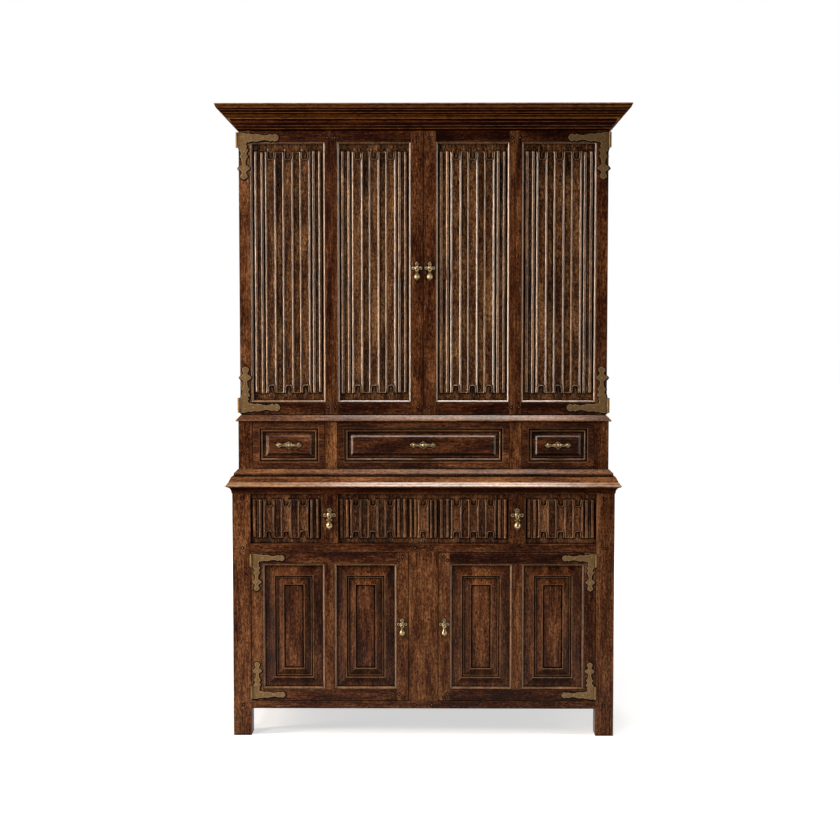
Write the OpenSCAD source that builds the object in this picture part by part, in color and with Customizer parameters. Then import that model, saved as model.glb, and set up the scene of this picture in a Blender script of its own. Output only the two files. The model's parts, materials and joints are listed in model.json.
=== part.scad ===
// Two-part television cabinet in oak: a base with two frieze drawers and two cupboards, and an
// upper part with a row of three drawers under a television bay with bi-fold linenfold doors.
// Millimetres, +Z up, front towards -Y, origin on the floor under the middle of the cabinet.

/* [Overall] */
// Height of the whole cabinet
total_h = 2261; // [2200:1:2330]
// Width of the television section across its closed doors
upper_w = 1318; // [1260:1:1370]
// Width of the base across its legs
base_w = 1374; // [1370:1:1440]
// Depth of the base carcass
base_d = 600; // [540:1:680]
// Distance of the television doors behind the front of the base
upper_setback = 30; // [26:1:45]
// Step from the television section out to the drawer row, at the front and at each side
row_step = 7; // [4:1:12]

/* [Heights] */
// Clear height under the bottom rail
foot_h = 99; // [70:1:130]
// Height of the bottom rail
bottom_rail_h = 28; // [22:1:40]
// Height of the base door openings
base_opening_h = 543; // [500:1:590]
// Height of the rail between the doors and the frieze
frieze_rail_h = 29; // [26:1:40]
// Height of the frieze
frieze_h = 181; // [165:1:200]
// Height of the base top with its under-moulding
base_top_h = 63; // [56:1:70]
// Height of the moulding at the foot of the upper part
foot_mould_h = 25; // [22:1:32]
// Height of the drawer row
row_h = 171; // [155:1:190]
// Height of the moulding under the television doors
waist_h = 22; // [18:1:28]
// Height of the cornice
cornice_h = 83; // [76:1:92]

/* [Mouldings] */
// Projection of the cornice in front of the doors and beyond the sides
cornice_out = 75; // [65:1:85]
// Width of the cornice moulding behind the door plane
cornice_in = 50; // [40:1:70]
// Projection of the waist moulding from the drawer row
waist_out = 9; // [6:1:14]
// Projection of the foot moulding from the drawer row
foot_mould_out = 16; // [12:1:18]
// Projection of the base top from the legs
base_top_out = 24; // [20:1:32]
// Thickness of the base top board itself
base_board_h = 36; // [32:1:40]
// Width of the under-moulding strips of the base top
under_mould_in = 40; // [30:1:60]

/* [Television doors] */
// Thickness of a leaf
leaf_t = 24; // [20:1:28]
// Width of the outer stile
outer_stile_w = 48; // [46:1:56]
// Width of the two stiles at the folding seam
seam_stile_w = 28; // [26:1:36]
// Width of the stile where the doors meet
meeting_stile_w = 50; // [48:1:58]
// Height of the top rail
leaf_top_rail_h = 46; // [44:1:60]
// Height of the bottom rail
leaf_bottom_rail_h = 50; // [48:1:64]
// Width of the bead round every panel
bead_w = 8; // [6:0.5:9]
// Height of the pulls above the bottom edge of the doors
upper_pull_h = 524; // [300:1:640]
// Distance of the pulls from the middle of the cabinet
upper_pull_x = 23; // [22:0.5:28]

/* [Base doors] */
// Thickness of a base door
base_door_t = 22; // [20:1:26]
// Width of the stiles
base_stile_w = 48; // [46:1:56]
// Width of the muntin between the two panels
muntin_w = 50; // [40:1:60]
// Height of the rails
base_door_rail_h = 48; // [46:1:60]
// Height of the pulls above the bottom edge of the doors
base_pull_h = 278; // [200:1:340]

/* [Linenfold] */
// Width of one band of folded cloth
band_w = 40; // [34:1:44]
// Number of bands across a large panel
bands = 3; // [1:2:5]
// Width of the two rolls at each side of a large panel
roll_zone_w = 45; // [36:1:50]
// Height of the carved relief above its ground
fold_h = 10; // [7:0.5:11]
// Plain ground above and below the folds of a door panel
leaf_ground_h = 26; // [16:1:40]
// Plain ground above and below the folds of a frieze panel
frieze_ground_h = 18; // [12:1:26]
// Width of the notch in the end of a band
notch_w = 18; // [12:1:22]
// Depth of the notch in the end of a band
notch_h = 24; // [14:1:30]

/* [Carcass boards] */
// Side of a square leg
leg_w = 65; // [56:1:74]
// Width of the wide stile between the base doors
centre_w = 105; // [90:1:120]
// Width of the plain stile in the middle of a frieze drawer
frieze_stile_w = 60; // [54:1:70]
// Thickness of the front rails, stiles and posts
rail_t = 25; // [20:1:30]
// Thickness of the carcass boards
board_t = 22; // [18:1:25]
// Thickness of the television deck
deck_t = 30; // [26:1:36]
// Thickness of the back boards
back_t = 10; // [8:1:14]
// Thickness of the flat panels in the framed sides
side_panel_t = 10; // [8:1:12]
// Width of the stiles of the framed sides
side_stile_w = 70; // [60:1:90]
// Height of the rails of the framed sides
side_rail_h = 80; // [60:1:100]
// Set-back of the base sides from the face of the legs
side_inset = 6; // [3:1:10]
// Width of the posts at the ends of the drawer row
row_post_w = 51; // [44:1:60]
// Width of the dividers between the drawers of the row
row_divider_w = 43; // [36:1:52]
// Width of the small drawer openings of the row
small_opening_w = 262; // [230:1:290]
// Radius of the two holes for the cables in the back of the television bay
cable_r = 30; // [20:1:40]
// Height of the cable holes above the deck
cable_h = 120; // [60:1:300]
// Distance of each cable hole from the middle, clear of the view between the doors
cable_x = 255; // [170:1:340]

/* [Drawers] */
// Thickness of the drawer fronts
front_t = 22; // [20:1:25]
// Thickness of the drawer sides
drawer_side_t = 12; // [10:1:14]
// Thickness of the drawer bottoms
drawer_bottom_t = 7; // [5:1:9]
// Length of the drawer boxes
drawer_l = 460; // [380:1:480]
// Height of the frieze drawer boxes
frieze_box_h = 140; // [110:1:150]
// Height of the boxes in the drawer row
row_box_h = 130; // [100:1:140]

/* [Brass] */
// Thickness of the hinge straps and back plates
strap_t = 2; // [1.5:0.1:2.5]
// Radius of the barrels of the television door hinges
upper_barrel_r = 4.7; // [4.2:0.1:4.9]
// Radius of the barrels of the base door hinges
base_barrel_r = 4; // [3.5:0.1:4.2]
// Radius of the hinge pins
pin_r = 2; // [1.5:0.1:2.3]
// Length of the barrels of the television door hinges
upper_barrel_l = 51; // [40:1:60]
// Length of the barrels of the base door hinges
base_barrel_l = 43; // [36:1:50]
// Distance of the television hinge pins outside the sides
hinge_out = 5.5; // [5.3:0.1:6.5]
// Size of the base door straps as a share of the television door straps
base_strap_share = 0.82; // [0.7:0.01:0.9]
// Radius of the drop of a door pull
drop_r = 10.5; // [8:0.5:11]
// Length of the drop of a door pull below its pin
drop_l = 45; // [38:1:52]
// Radius of the drop of a frieze pull
long_drop_r = 11; // [8:0.5:12]
// Length of the drop of a frieze pull below its pin
long_drop_l = 54; // [46:1:62]
// Width over the bar pulls of the drawer row
bar_pull_w = 93; // [80:1:100]

/* [Clearances] */
// Joint between two fixed boards
joint = 0.2; // [0.1:0.05:0.3]
// Gap round a drawer front
drawer_gap = 2; // [1.5:0.1:3]
// Gap round a base door
door_gap = 2.4; // [2.2:0.1:3]
// Gap above and below the television doors
upper_gap = 3; // [2:0.1:4]
// Gap between the two leaves of a door
seam_gap = 1.5; // [1:0.1:2.5]
// Gap between the two doors where they meet
meeting_gap = 3; // [2.5:0.1:4]
// Gap between the television doors and the carcass behind them
door_back_gap = 1; // [0.5:0.1:2]
// Running gap under a drawer box and beside its guides
slide_gap = 0.3; // [0.2:0.05:0.6]
// Radial clearance of a pin in its barrel
pin_gap = 0.05; // [0.02:0.01:0.09]
// Gap between the knuckles of a barrel
knuckle_gap = 0.3; // [0.2:0.05:0.5]

/* [Hidden] */
$fn = 40;
wood = "#4b2e1b";
carved = "#54351f";
secondary = "#8a6a47";
brass = "#8d7444";
left = -1;
right = 1;

// Heights of the main levels
z_rail_top = foot_h + bottom_rail_h;
z_opening_top = z_rail_top + base_opening_h;
z_frieze = z_opening_top + frieze_rail_h;
z_base_top = z_frieze + frieze_h;
z_upper = z_base_top + base_top_h;
z_row = z_upper + foot_mould_h;
z_row_top = z_row + row_h;
z_waist = z_row_top + waist_h;
z_cornice = total_h - cornice_h;
z_leaf = z_waist + upper_gap;
z_leaf_top = z_cornice - upper_gap;
z_deck = z_row_top + deck_t;

// Planes along the depth
y_back = (base_d + cornice_out - upper_setback) / 2;
y_base = y_back - base_d;
y_door = y_base + upper_setback;
y_row = y_door - row_step;
y_carcass = y_door + leaf_t + door_back_gap;
y_inside_back = y_back - back_t - joint;

// Half widths
base_x = base_w / 2;
upper_x = upper_w / 2;
row_x = upper_x + row_step;
leg_x = base_x - leg_w;
centre_x = centre_w / 2;
small_x1 = row_x - row_post_w;
small_x0 = small_x1 - small_opening_w;
wide_x = small_x0 - row_divider_w;

// Leaves of the right door
outer_leaf = [upper_x / 2 + seam_gap / 2, upper_x];
inner_leaf = [meeting_gap / 2, upper_x / 2 - seam_gap / 2];
seam_axis_back = 3.4;
seam_x = upper_x / 2;
y_seam = y_door + leaf_t + seam_axis_back;

// Panels stand this far behind the face of their frame
panel_set = fold_h + 2;
// Backs of the door panels stand this far in front of the backs of their frames
panel_back = 3;
// Panels stop this far short of the beads round them
panel_gap = 0.3;

// Hinge lines
upper_axis = [upper_x + hinge_out, y_door];
base_axis = [leg_x - door_gap / 2, y_base - base_barrel_r - knuckle_gap];
strap_edge = 5;
barrel_edge = 7;
base_leaf_t = 1.7;
// Gap between a door's edge and the fixed hinge plate beside it
edge_gap = 0.5;

// Small working sizes: how far a cut starts outside a face, and how far it runs past the piece
cut = 1;
reach = base_d;

// General shapes

// Board between two limits on each axis
module slab(x, y, z) {
    translate([x[0], y[0], z[0]])
        cube([x[1] - x[0], y[1] - y[0], z[1] - z[0]]);
}

// Outline of (y, z) points drawn out along X
module run_x(x, outline) {
    translate([x[0], 0, 0])
        rotate([90, 0, 90])
            linear_extrude(x[1] - x[0])
                polygon(outline);
}

// Outline of (x, z) points drawn out along Y
module run_y(y, outline) {
    translate([0, y[1], 0])
        rotate([90, 0, 0])
            linear_extrude(y[1] - y[0])
                polygon(outline);
}

// Children are drawn as seen from the front: x to the right, y up, z out of the face
module on_face(x, y, z) {
    translate([x, y, z])
        rotate([90, 0, 0])
            children();
}

// Children are drawn for the right side and mirrored for the left
module on_side(side) {
    mirror([side == left ? 1 : 0, 0, 0])
        children();
}

module both_sides() {
    on_side(right) children();
    on_side(left) children();
}

// Points of an arc, given as centre, radii and two angles
function arc(c, r, a0, a1, steps) = [
    for (i = [0 : steps])
        let (a = a0 + (a1 - a0) * i / steps)
            [c[0] + r[0] * cos(a), c[1] + r[1] * sin(a)]
];

// Moulding round the front and both sides, in three lengths mitred at the front corners.
// The outline's points are (projection, height), and its inner edge lies at -inboard.
module moulding(half_w, y_front, y_end, inboard, outline) {
    out = max([for (q = outline) q[0]]) + cut;
    mitre = joint / 2;
    intersection() {
        run_x([-half_w - out, half_w + out], [for (q = outline) [y_front - q[0], q[1]]]);
        linear_extrude(total_h + cut)
            polygon([
                [-half_w - out + mitre, y_front - out],
                [half_w + out - mitre, y_front - out],
                [half_w - inboard - mitre, y_front + inboard],
                [-half_w + inboard + mitre, y_front + inboard]
            ]);
    }
    both_sides()
        intersection() {
            run_y([y_front - out, y_end], [for (q = outline) [half_w + q[0], q[1]]]);
            linear_extrude(total_h + cut)
                polygon([
                    [half_w - inboard + mitre, y_front + inboard],
                    [half_w + out + mitre, y_front - out],
                    [half_w + out + mitre, y_end],
                    [half_w - inboard, y_end],
                    [half_w - inboard, y_front + inboard]
                ]);
        }
}

// Four strips mitred into a rectangular ring, outer size w by h.
// The outline's points are (distance in from the outer edge, height).
module mitred_ring(w, h, strip, outline) {
    for (k = [0 : 3]) {
        run = k % 2 == 0 ? w : h;
        across = k % 2 == 0 ? h : w;
        rotate([0, 0, 90 * k])
            translate([0, -across / 2, 0])
                intersection() {
                    run_x([-run / 2, run / 2], outline);
                    translate([0, 0, -reach / 2])
                        linear_extrude(reach)
                            polygon([
                                [-run / 2 + joint, 0],
                                [run / 2 - joint, 0],
                                [run / 2 - strip - joint, strip],
                                [-run / 2 + strip + joint, strip]
                            ]);
                }
    }
}

// Block whose four sides slope from height z0 at its edge up to z1, run further in
module fielded(w, h, bottom, z0, z1, run) {
    intersection() {
        run_x([-w / 2, w / 2], fielded_outline(h, bottom, z0, z1, run));
        run_y([-h / 2, h / 2], fielded_outline(w, bottom, z0, z1, run));
    }
}
function fielded_outline(size, bottom, z0, z1, run) = [
    [-size / 2, bottom], [size / 2, bottom], [size / 2, z0],
    [size / 2 - run, z1], [-size / 2 + run, z1], [-size / 2, z0]
];

// Centred block between two heights
module block(w, h, z) {
    slab([-w / 2, w / 2], [-h / 2, h / 2], z);
}

// Linenfold

lip_r = 2.4;
recess_h = 3;
flat_h = fold_h - 2.6;

// One band of cloth: a lip at each edge and a slightly dished flat between them
function band(c) = concat(
    [[c - band_w / 2, recess_h]],
    arc([c - band_w / 2 + lip_r, fold_h - lip_r], [lip_r, lip_r], 180, 0, 5),
    [[c - band_w / 2 + 3 * lip_r, flat_h]],
    [[c + band_w / 2 - 3 * lip_r, flat_h]],
    arc([c + band_w / 2 - lip_r, fold_h - lip_r], [lip_r, lip_r], 180, 0, 5),
    [[c + band_w / 2, recess_h]]
);

// Hollow between two bands
function hollow(x0, x1) = [
    for (t = [0.15 : 0.175 : 0.85])
        [x0 + (x1 - x0) * t, recess_h - 1.2 * sin(180 * t)]
];

// The two rolls outside the last band, from the band at x = 0 outwards over the width w
function rolls(w) = concat(
    [[0.02 * w, 2], [0.08 * w, 2]],
    arc([0.24 * w, 2], [0.16 * w, fold_h - 2], 180, 0, 6),
    [[0.5 * w, 1.6], [0.6 * w, 2]],
    arc([0.76 * w, 1.5], [0.15 * w, fold_h - 2.5], 180, 0, 6),
    [[0.93 * w, 0], [0.98 * w, 0]]
);

// Whole cross-section of a panel of width w with n bands, from left to right
function fold_section(w, n, zone) =
    let (
        last = w / 2 - zone,
        pitch = n > 1 ? (2 * last - band_w) / (n - 1) : 0,
        centres = [for (i = [0 : n - 1]) -last + band_w / 2 + i * pitch],
        side_points = rolls(zone)
    )
    concat(
        [[-w / 2, -cut], [-w / 2, 0]],
        [for (i = [len(side_points) - 1 : -1 : 0]) [-last - side_points[i][0], side_points[i][1]]],
        [
            for (i = [0 : n - 1])
                each concat(
                    band(centres[i]),
                    i < n - 1 ? hollow(centres[i] + band_w / 2, centres[i + 1] - band_w / 2) : []
                )
        ],
        [for (q = side_points) [last + q[0], q[1]]],
        [[w / 2, 0], [w / 2, -cut]]
    );

// Line of the fold ends along the top, seen from the front, with a notch in every band
function fold_end(w, n, zone, z_end) =
    let (
        last = w / 2 - zone,
        pitch = n > 1 ? (2 * last - band_w) / (n - 1) : 0,
        half_notch = notch_w / 2,
        drop = notch_h / 3
    )
    concat(
        [[-w / 2, z_end], [-last - 2, z_end]],
        [
            for (i = [0 : n - 1])
                let (c = -last + band_w / 2 + i * pitch)
                    each [
                        [c - band_w / 2 - 1, z_end],
                        [c - half_notch - 3, z_end],
                        [c - half_notch, z_end - drop],
                        [c - half_notch, z_end - notch_h + 3],
                        [c - half_notch + 3, z_end - notch_h],
                        [c + half_notch - 3, z_end - notch_h],
                        [c + half_notch, z_end - notch_h + 3],
                        [c + half_notch, z_end - drop],
                        [c + half_notch + 3, z_end],
                        [c + band_w / 2 + 1, z_end]
                    ]
        ],
        [[last + 2, z_end], [w / 2, z_end]]
    );

// Tongue of cloth that shows inside each notch and widens to the edge of the ground
module tongues(w, n, zone, z_end) {
    last = w / 2 - zone;
    pitch = n > 1 ? (2 * last - band_w) / (n - 1) : 0;
    for (i = [0 : n - 1])
        translate([-last + band_w / 2 + i * pitch, z_end, -cut])
            linear_extrude(recess_h + 1.4 + cut)
                polygon([
                    [-notch_w / 4, -notch_h - cut], [notch_w / 4, -notch_h - cut],
                    [notch_w / 4, -notch_h / 3], [notch_w / 2.4, 0],
                    [-notch_w / 2.4, 0], [-notch_w / 4, -notch_h / 3]
                ]);
}

// Carved panel on a board of the given thickness, its ground at z = 0 and its folds upright
module fold_panel(w, h, n, zone, ground_h, thickness) {
    z_end = h / 2 - ground_h;
    top = fold_end(w, n, zone, z_end);
    block(w, h, [-thickness, 0]);
    intersection() {
        run_y([-h / 2, h / 2], fold_section(w, n, zone));
        translate([0, 0, -2 * cut])
            linear_extrude(fold_h + 4 * cut)
                polygon(concat(top, [for (i = [len(top) - 1 : -1 : 0]) [top[i][0], -top[i][1]]]));
    }
    tongues(w, n, zone, z_end);
    rotate([0, 0, 180])
        tongues(w, n, zone, z_end);
}

// Base carcass

module base_legs() {
    color(wood)
        both_sides()
            for (y = [[y_base, y_base + leg_w], [y_back - leg_w, y_back]])
                slab([leg_x, base_x], y, [0, z_base_top - joint]);
}

module base_sides() {
    y = [y_base + leg_w + joint, y_back - leg_w - joint];
    x = [base_x - side_inset - board_t, base_x - side_inset];
    x_panel = (x[0] + x[1]) / 2;
    rails = [
        [foot_h, foot_h + side_rail_h],
        [z_frieze - side_rail_h, z_frieze],
        [z_base_top - side_rail_h, z_base_top - joint]
    ];
    color(wood)
        both_sides() {
            for (z = rails)
                slab(x, y, z);
            for (i = [0 : 1])
                slab([x_panel - side_panel_t / 2, x_panel + side_panel_t / 2], y,
                     [rails[i][1] + panel_gap, rails[i + 1][0] - panel_gap]);
        }
}

module base_front_frame() {
    y = [y_base, y_base + rail_t];
    color(wood) {
        slab([-leg_x + joint, leg_x - joint], y, [foot_h, z_rail_top]);
        slab([-leg_x + joint, leg_x - joint], y, [z_opening_top, z_frieze]);
        slab([-centre_x, centre_x], y, [z_rail_top + joint, z_opening_top - joint]);
    }
}

module frieze_block() {
    w = centre_w - 2 * joint;
    h = frieze_h - 2 * joint;
    color(carved)
        on_face(0, y_base + panel_set, z_frieze + frieze_h / 2)
            fold_panel(w, h, 1, (w - band_w) / 2, frieze_ground_h + drawer_gap, rail_t - panel_set);
}

module base_back() {
    color(secondary)
        back_boards(leg_x, [foot_h, z_base_top - joint]);
}

module base_floor() {
    z = [z_rail_top - board_t, z_rail_top];
    side_x = base_x - side_inset - board_t;
    color(secondary) {
        slab([-leg_x + joint, leg_x - joint], [y_base + rail_t + joint, y_inside_back], z);
        both_sides()
            slab([leg_x + joint, side_x - joint], [y_base + leg_w + joint, y_back - leg_w - joint], z);
    }
}

runner_h = 6;
guide_h = 18;
guide_w = 12;
frieze_box_x = [centre_x + drawer_gap + 1, leg_x - drawer_gap - 1];

module drawer_bed() {
    y = [y_base + rail_t + joint, y_inside_back];
    runner_z = [z_frieze - runner_h, z_frieze];
    color(secondary) {
        slab([-leg_x + joint, leg_x - joint], y,
             [z_frieze - runner_h - board_t + joint, z_frieze - runner_h - joint]);
        both_sides() {
            for (x = [frieze_box_x[0], frieze_box_x[1] - 2 * guide_w])
                slab([x, x + 2 * guide_w], y, runner_z);
            slab([frieze_box_x[0] - slide_gap - guide_w, frieze_box_x[0] - slide_gap], y,
                 [z_frieze - runner_h, z_frieze + guide_h]);
        }
    }
}

module base_partition() {
    color(secondary)
        slab([-board_t / 2, board_t / 2], [y_base + rail_t + joint, y_inside_back],
             [z_rail_top + joint, z_frieze - runner_h - board_t]);
}

module base_shelves() {
    z = z_rail_top + 0.5 * base_opening_h;
    cleat = 20;
    shelf_y = [y_base + rail_t + 60, y_inside_back];
    color(secondary)
        both_sides() {
            slab([board_t / 2 + joint, leg_x - joint], shelf_y, [z, z + board_t - 2]);
            for (x = [board_t / 2 + joint, leg_x - joint - cleat])
                slab([x, x + cleat], [y_base + rail_t + 20, y_inside_back], [z - cleat, z - joint]);
        }
}

// Base top: a board with a sloped and rounded edge on a mitred under-moulding

function base_board_edge() =
    let (z0 = z_upper - base_board_h, flat_p = row_x + foot_mould_out - base_x)
    concat(
        [[base_top_out - 6, z0]],
        arc([base_top_out - 5, z0 + 5], [5, 5], -90, 35, 4),
        [[flat_p, z_upper]]
    );

module base_top() {
    edge = base_board_edge();
    z0 = z_upper - base_board_h;
    under = concat(
        [[-under_mould_in, z_base_top], [0, z_base_top]],
        arc([base_top_out - 5, z_base_top + 3], [base_top_out - 7, z0 - z_base_top - 5], 180, 90, 4),
        [[base_top_out - 5, z0 - joint], [-under_mould_in, z0 - joint]]
    );
    color(wood) {
        intersection() {
            run_x([-base_x - reach, base_x + reach],
                  concat([[y_back, z_upper], [y_back, z0]], [for (q = edge) [y_base - q[0], q[1]]]));
            run_y([y_base - reach, y_back],
                  concat([for (q = edge) [base_x + q[0], q[1]]],
                         [for (i = [len(edge) - 1 : -1 : 0]) [-base_x - edge[i][0], edge[i][1]]]));
        }
        moulding(base_x, y_base, y_back, under_mould_in, under);
        slab([-base_x + under_mould_in + joint, base_x - under_mould_in - joint],
             [y_back - under_mould_in, y_back], [z_base_top, z0 - joint]);
    }
}

// Upper carcass

module upper_sides() {
    x = [upper_x - board_t, upper_x];
    x_panel = (x[0] + x[1]) / 2;
    y = [y_carcass, y_back];
    y_rail = [y[0] + side_stile_w + joint, y[1] - side_stile_w - joint];
    z_low = z_row_top + joint;
    z_mid = (z_low + z_cornice) / 2;
    rails = [
        [z_low, z_low + side_rail_h],
        [z_mid - side_rail_h / 2, z_mid + side_rail_h / 2],
        [z_cornice - side_rail_h, z_cornice - joint]
    ];
    color(wood)
        both_sides() {
            for (s = [[y[0], y[0] + side_stile_w], [y[1] - side_stile_w, y[1]]])
                slab(x, s, [z_low, z_cornice - joint]);
            for (z = rails)
                slab(x, y_rail, z);
            for (i = [0 : 1])
                slab([x_panel - side_panel_t / 2, x_panel + side_panel_t / 2], y_rail,
                     [rails[i][1] + panel_gap, rails[i + 1][0] - panel_gap]);
            slab([row_x - board_t, row_x], [y_row + rail_t + joint, y_back],
                 [z_upper + joint, z_row_top]);
        }
}

module upper_top_board() {
    color(secondary)
        slab([-upper_x + board_t + joint, upper_x - board_t - joint], [y_carcass, y_inside_back],
             [z_cornice - board_t, z_cornice - joint]);
}

// Cornice outline: cove, fillet, two ovolos and a second cove under the top fillet
function cornice_outline() =
    let (p = cornice_out / 75, h = cornice_h / 83)
    [
        for (q = concat(
            [[-cornice_in / p, 0], [0, 0], [2, 2]],
            arc([3, 26], [21, 21], -80, -5, 5),
            [[27, 26], [27, 30]],
            arc([27, 40], [9, 10], -80, -5, 4),
            [[39, 40], [39, 42]],
            arc([39, 52], [11, 10], -80, -5, 4),
            [[53, 52], [53, 57]],
            arc([53, 76], [18, 18], -85, -5, 5),
            [[75, 76], [75, 83], [-cornice_in / p, 83]]
        ))
            [q[0] * p, z_cornice + q[1] * h]
    ];

module cornice() {
    rail_w = 60;
    color(wood) {
        moulding(upper_x, y_door, y_back, cornice_in, cornice_outline());
        slab([-upper_x + cornice_in + joint, upper_x - cornice_in - joint],
             [y_back - board_t, y_back], [z_cornice, z_cornice + rail_w]);
    }
}

module tv_deck() {
    color(secondary)
        slab([-upper_x + board_t + joint, upper_x - board_t - joint], [y_carcass, y_inside_back],
             [z_row_top + joint, z_deck]);
}

module upper_bottom_board() {
    color(secondary)
        slab([-row_x + board_t + joint, row_x - board_t - joint],
             [y_row + rail_t + joint, y_inside_back], [z_upper + joint, z_row - joint]);
}

module back_boards(half_w, z) {
    boards = 5;
    w = 2 * half_w / boards;
    for (i = [0 : boards - 1])
        slab([-half_w + i * w + joint, -half_w + (i + 1) * w - joint], [y_back - back_t, y_back], z);
}

module upper_back() {
    color(secondary)
        difference() {
            union() {
                back_boards(row_x - board_t, [z_upper + joint, z_row_top]);
                back_boards(upper_x - board_t, [z_row_top + joint, z_cornice - joint]);
            }
            for (side = [left, right])
                on_face(side * cable_x, y_back + cut, z_deck + cable_h)
                    cylinder(h = back_t + 2 * cut, r = cable_r);
        }
}

module waist_mouldings() {
    waist = [
        [-row_step, z_waist],
        [waist_out - 3, z_row_top + 7],
        [waist_out, z_row_top + 5],
        [waist_out, z_row_top + 3],
        [waist_out - 3, z_row_top + joint],
        [-row_step + joint, z_row_top + joint]
    ];
    foot = [
        [joint, z_row],
        [6, z_row - 4],
        [7, z_row - 6],
        [foot_mould_out - 1, z_row - 13],
        [foot_mould_out, z_row - 15],
        [foot_mould_out, z_upper + 5],
        [foot_mould_out - 1.5, z_upper + joint],
        [joint, z_upper + joint]
    ];
    color(wood) {
        moulding(row_x, y_row, y_back, row_step - joint, waist);
        slab([-upper_x + joint, upper_x - joint], [y_door, y_carcass - joint],
             [z_row_top + joint, z_waist]);
        moulding(row_x, y_row, y_back, -joint, foot);
    }
}

module drawer_row_frame() {
    y = [y_row, y_row + rail_t];
    color(wood) {
        both_sides() {
            slab([small_x1, row_x], y, [z_upper + joint, z_row_top]);
            slab([wide_x, small_x0], y, [z_row, z_row_top]);
        }
        slab([-small_x1 + joint, small_x1 - joint], y, [z_upper + joint, z_row - joint]);
    }
}

// Boxes of the row run on the bottom board between guides
small_box_x = [small_x0 + drawer_gap + 1, small_x1 - drawer_gap - 1];
wide_box_x = wide_x - drawer_gap - 1;

module drawer_row_runners() {
    y = [y_row + rail_t + joint, y_inside_back];
    z = [z_row, z_row + guide_h];
    mid = (wide_x + small_x0) / 2;
    color(secondary)
        both_sides() {
            slab([mid - board_t / 2 + 2, mid + board_t / 2 - 2], y, [z_row, z_row_top]);
            slab([wide_box_x + slide_gap, mid - board_t / 2 + 2 - joint], y, z);
            slab([mid + board_t / 2 - 2 + joint, small_box_x[0] - slide_gap], y, z);
            slab([small_box_x[1] + slide_gap, row_x - board_t - joint], y, z);
        }
}

// Hinges of the television doors

// Half widths along the two arms of a strap, as (distance from the corner, half width)
long_arm = [
    [1, 15.5], [12, 14], [17, 16], [22, 13.5], [34, 14], [40, 15.5], [46, 13.5], [52, 13.5],
    [59, 16], [65, 11], [74, 7], [83, 13], [90, 9], [98, 6], [109, 6], [115, 10], [122.5, 17.6],
    [130, 10.5], [136, 5.5], [140, 3.4], [151, 11.4], [163, 1]
];
short_arm = [
    [1, 15.5], [12, 13.5], [18, 15.5], [24, 13.5], [36, 13.5], [42, 15.5], [48, 13.5], [62, 14],
    [70, 14.5], [80, 9.5], [92, 6.8], [104, 8.2], [112, 11.5], [117, 9], [122, 8.6], [129, 11.2],
    [136, 9], [142, 1]
];
arm_centre = 18.5;

function arm_outline(half_widths) = concat(
    [for (q = half_widths) [q[0], arm_centre + q[1]]],
    [for (i = [len(half_widths) - 1 : -1 : 0]) [half_widths[i][0], arm_centre - half_widths[i][1]]]
);

// L-shaped strap with its corner at the origin and its long arm upwards
module strap_outline() {
    polygon(arm_outline(short_arm));
    polygon([for (q = arm_outline(long_arm)) [q[1], q[0]]]);
}

// Strap on the face of a door whose lower outer corner is at (x, z), for the right door.
// up is 1 for the hinge at the foot of the door and -1 for the one at its head.
module strap(x, y, z, up, share) {
    on_face(x, y, z + up * strap_edge * share)
        mirror([1, 0, 0])
            mirror([0, up == 1 ? 0 : 1, 0])
                linear_extrude(strap_t)
                    scale(share)
                        strap_outline();
}

function knuckles(z0, length) =
    let (a = length / 4)
    [
        [z0, z0 + a - knuckle_gap / 2],
        [z0 + a + knuckle_gap / 2, z0 + length - a - knuckle_gap / 2],
        [z0 + length - a + knuckle_gap / 2, z0 + length]
    ];

module barrel_piece(axis, r, z) {
    translate([axis[0], axis[1], z[0]])
        cylinder(h = z[1] - z[0], r = r);
}

module barrel_bore(axis, r, z) {
    translate([axis[0], axis[1], z[0] - cut])
        cylinder(h = z[1] - z[0] + 2 * cut, r = r + pin_gap);
}

// Lowest point of the barrel of the hinge at the foot and at the head of a door
function barrel_starts(z0, z1, length) = [z0 + barrel_edge, z1 - barrel_edge - length];

module upper_fixed_leaf(z0) {
    k = knuckles(z0, upper_barrel_l);
    plate = [upper_x, upper_x + strap_t];
    plate_l = 58;
    difference() {
        union() {
            for (z = [k[0], k[2]]) {
                barrel_piece(upper_axis, upper_barrel_r, z);
                slab([upper_x + edge_gap, upper_x + strap_t], [y_door, y_carcass + cut], z);
            }
            slab(plate, [y_carcass, y_door + plate_l], [z0, z0 + upper_barrel_l]);
        }
        barrel_bore(upper_axis, pin_r, [z0, z0 + upper_barrel_l]);
        translate([upper_axis[0], upper_axis[1], k[1][0] - knuckle_gap])
            cylinder(h = k[1][1] - k[1][0] + 2 * knuckle_gap, r = upper_barrel_r + 2 * knuckle_gap);
    }
}

base_leaf_l = 26;

module base_fixed_leaf(z0) {
    k = knuckles(z0, base_barrel_l);
    plate = [leg_x - base_leaf_t, leg_x];
    difference() {
        union() {
            for (z = [k[0], k[2]]) {
                barrel_piece(base_axis, base_barrel_r, z);
                slab(plate, [base_axis[1], y_base + cut], z);
            }
            slab(plate, [y_base + knuckle_gap, y_base + base_leaf_l], [z0, z0 + base_barrel_l]);
        }
        barrel_bore(base_axis, pin_r, [z0, z0 + base_barrel_l]);
    }
}

module fixed_hinge_leaves() {
    color(brass)
        both_sides() {
            for (z = barrel_starts(z_leaf, z_leaf_top, upper_barrel_l))
                upper_fixed_leaf(z);
            for (z = barrel_starts(base_door_z[0], base_door_z[1], base_barrel_l))
                base_fixed_leaf(z);
        }
}

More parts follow.
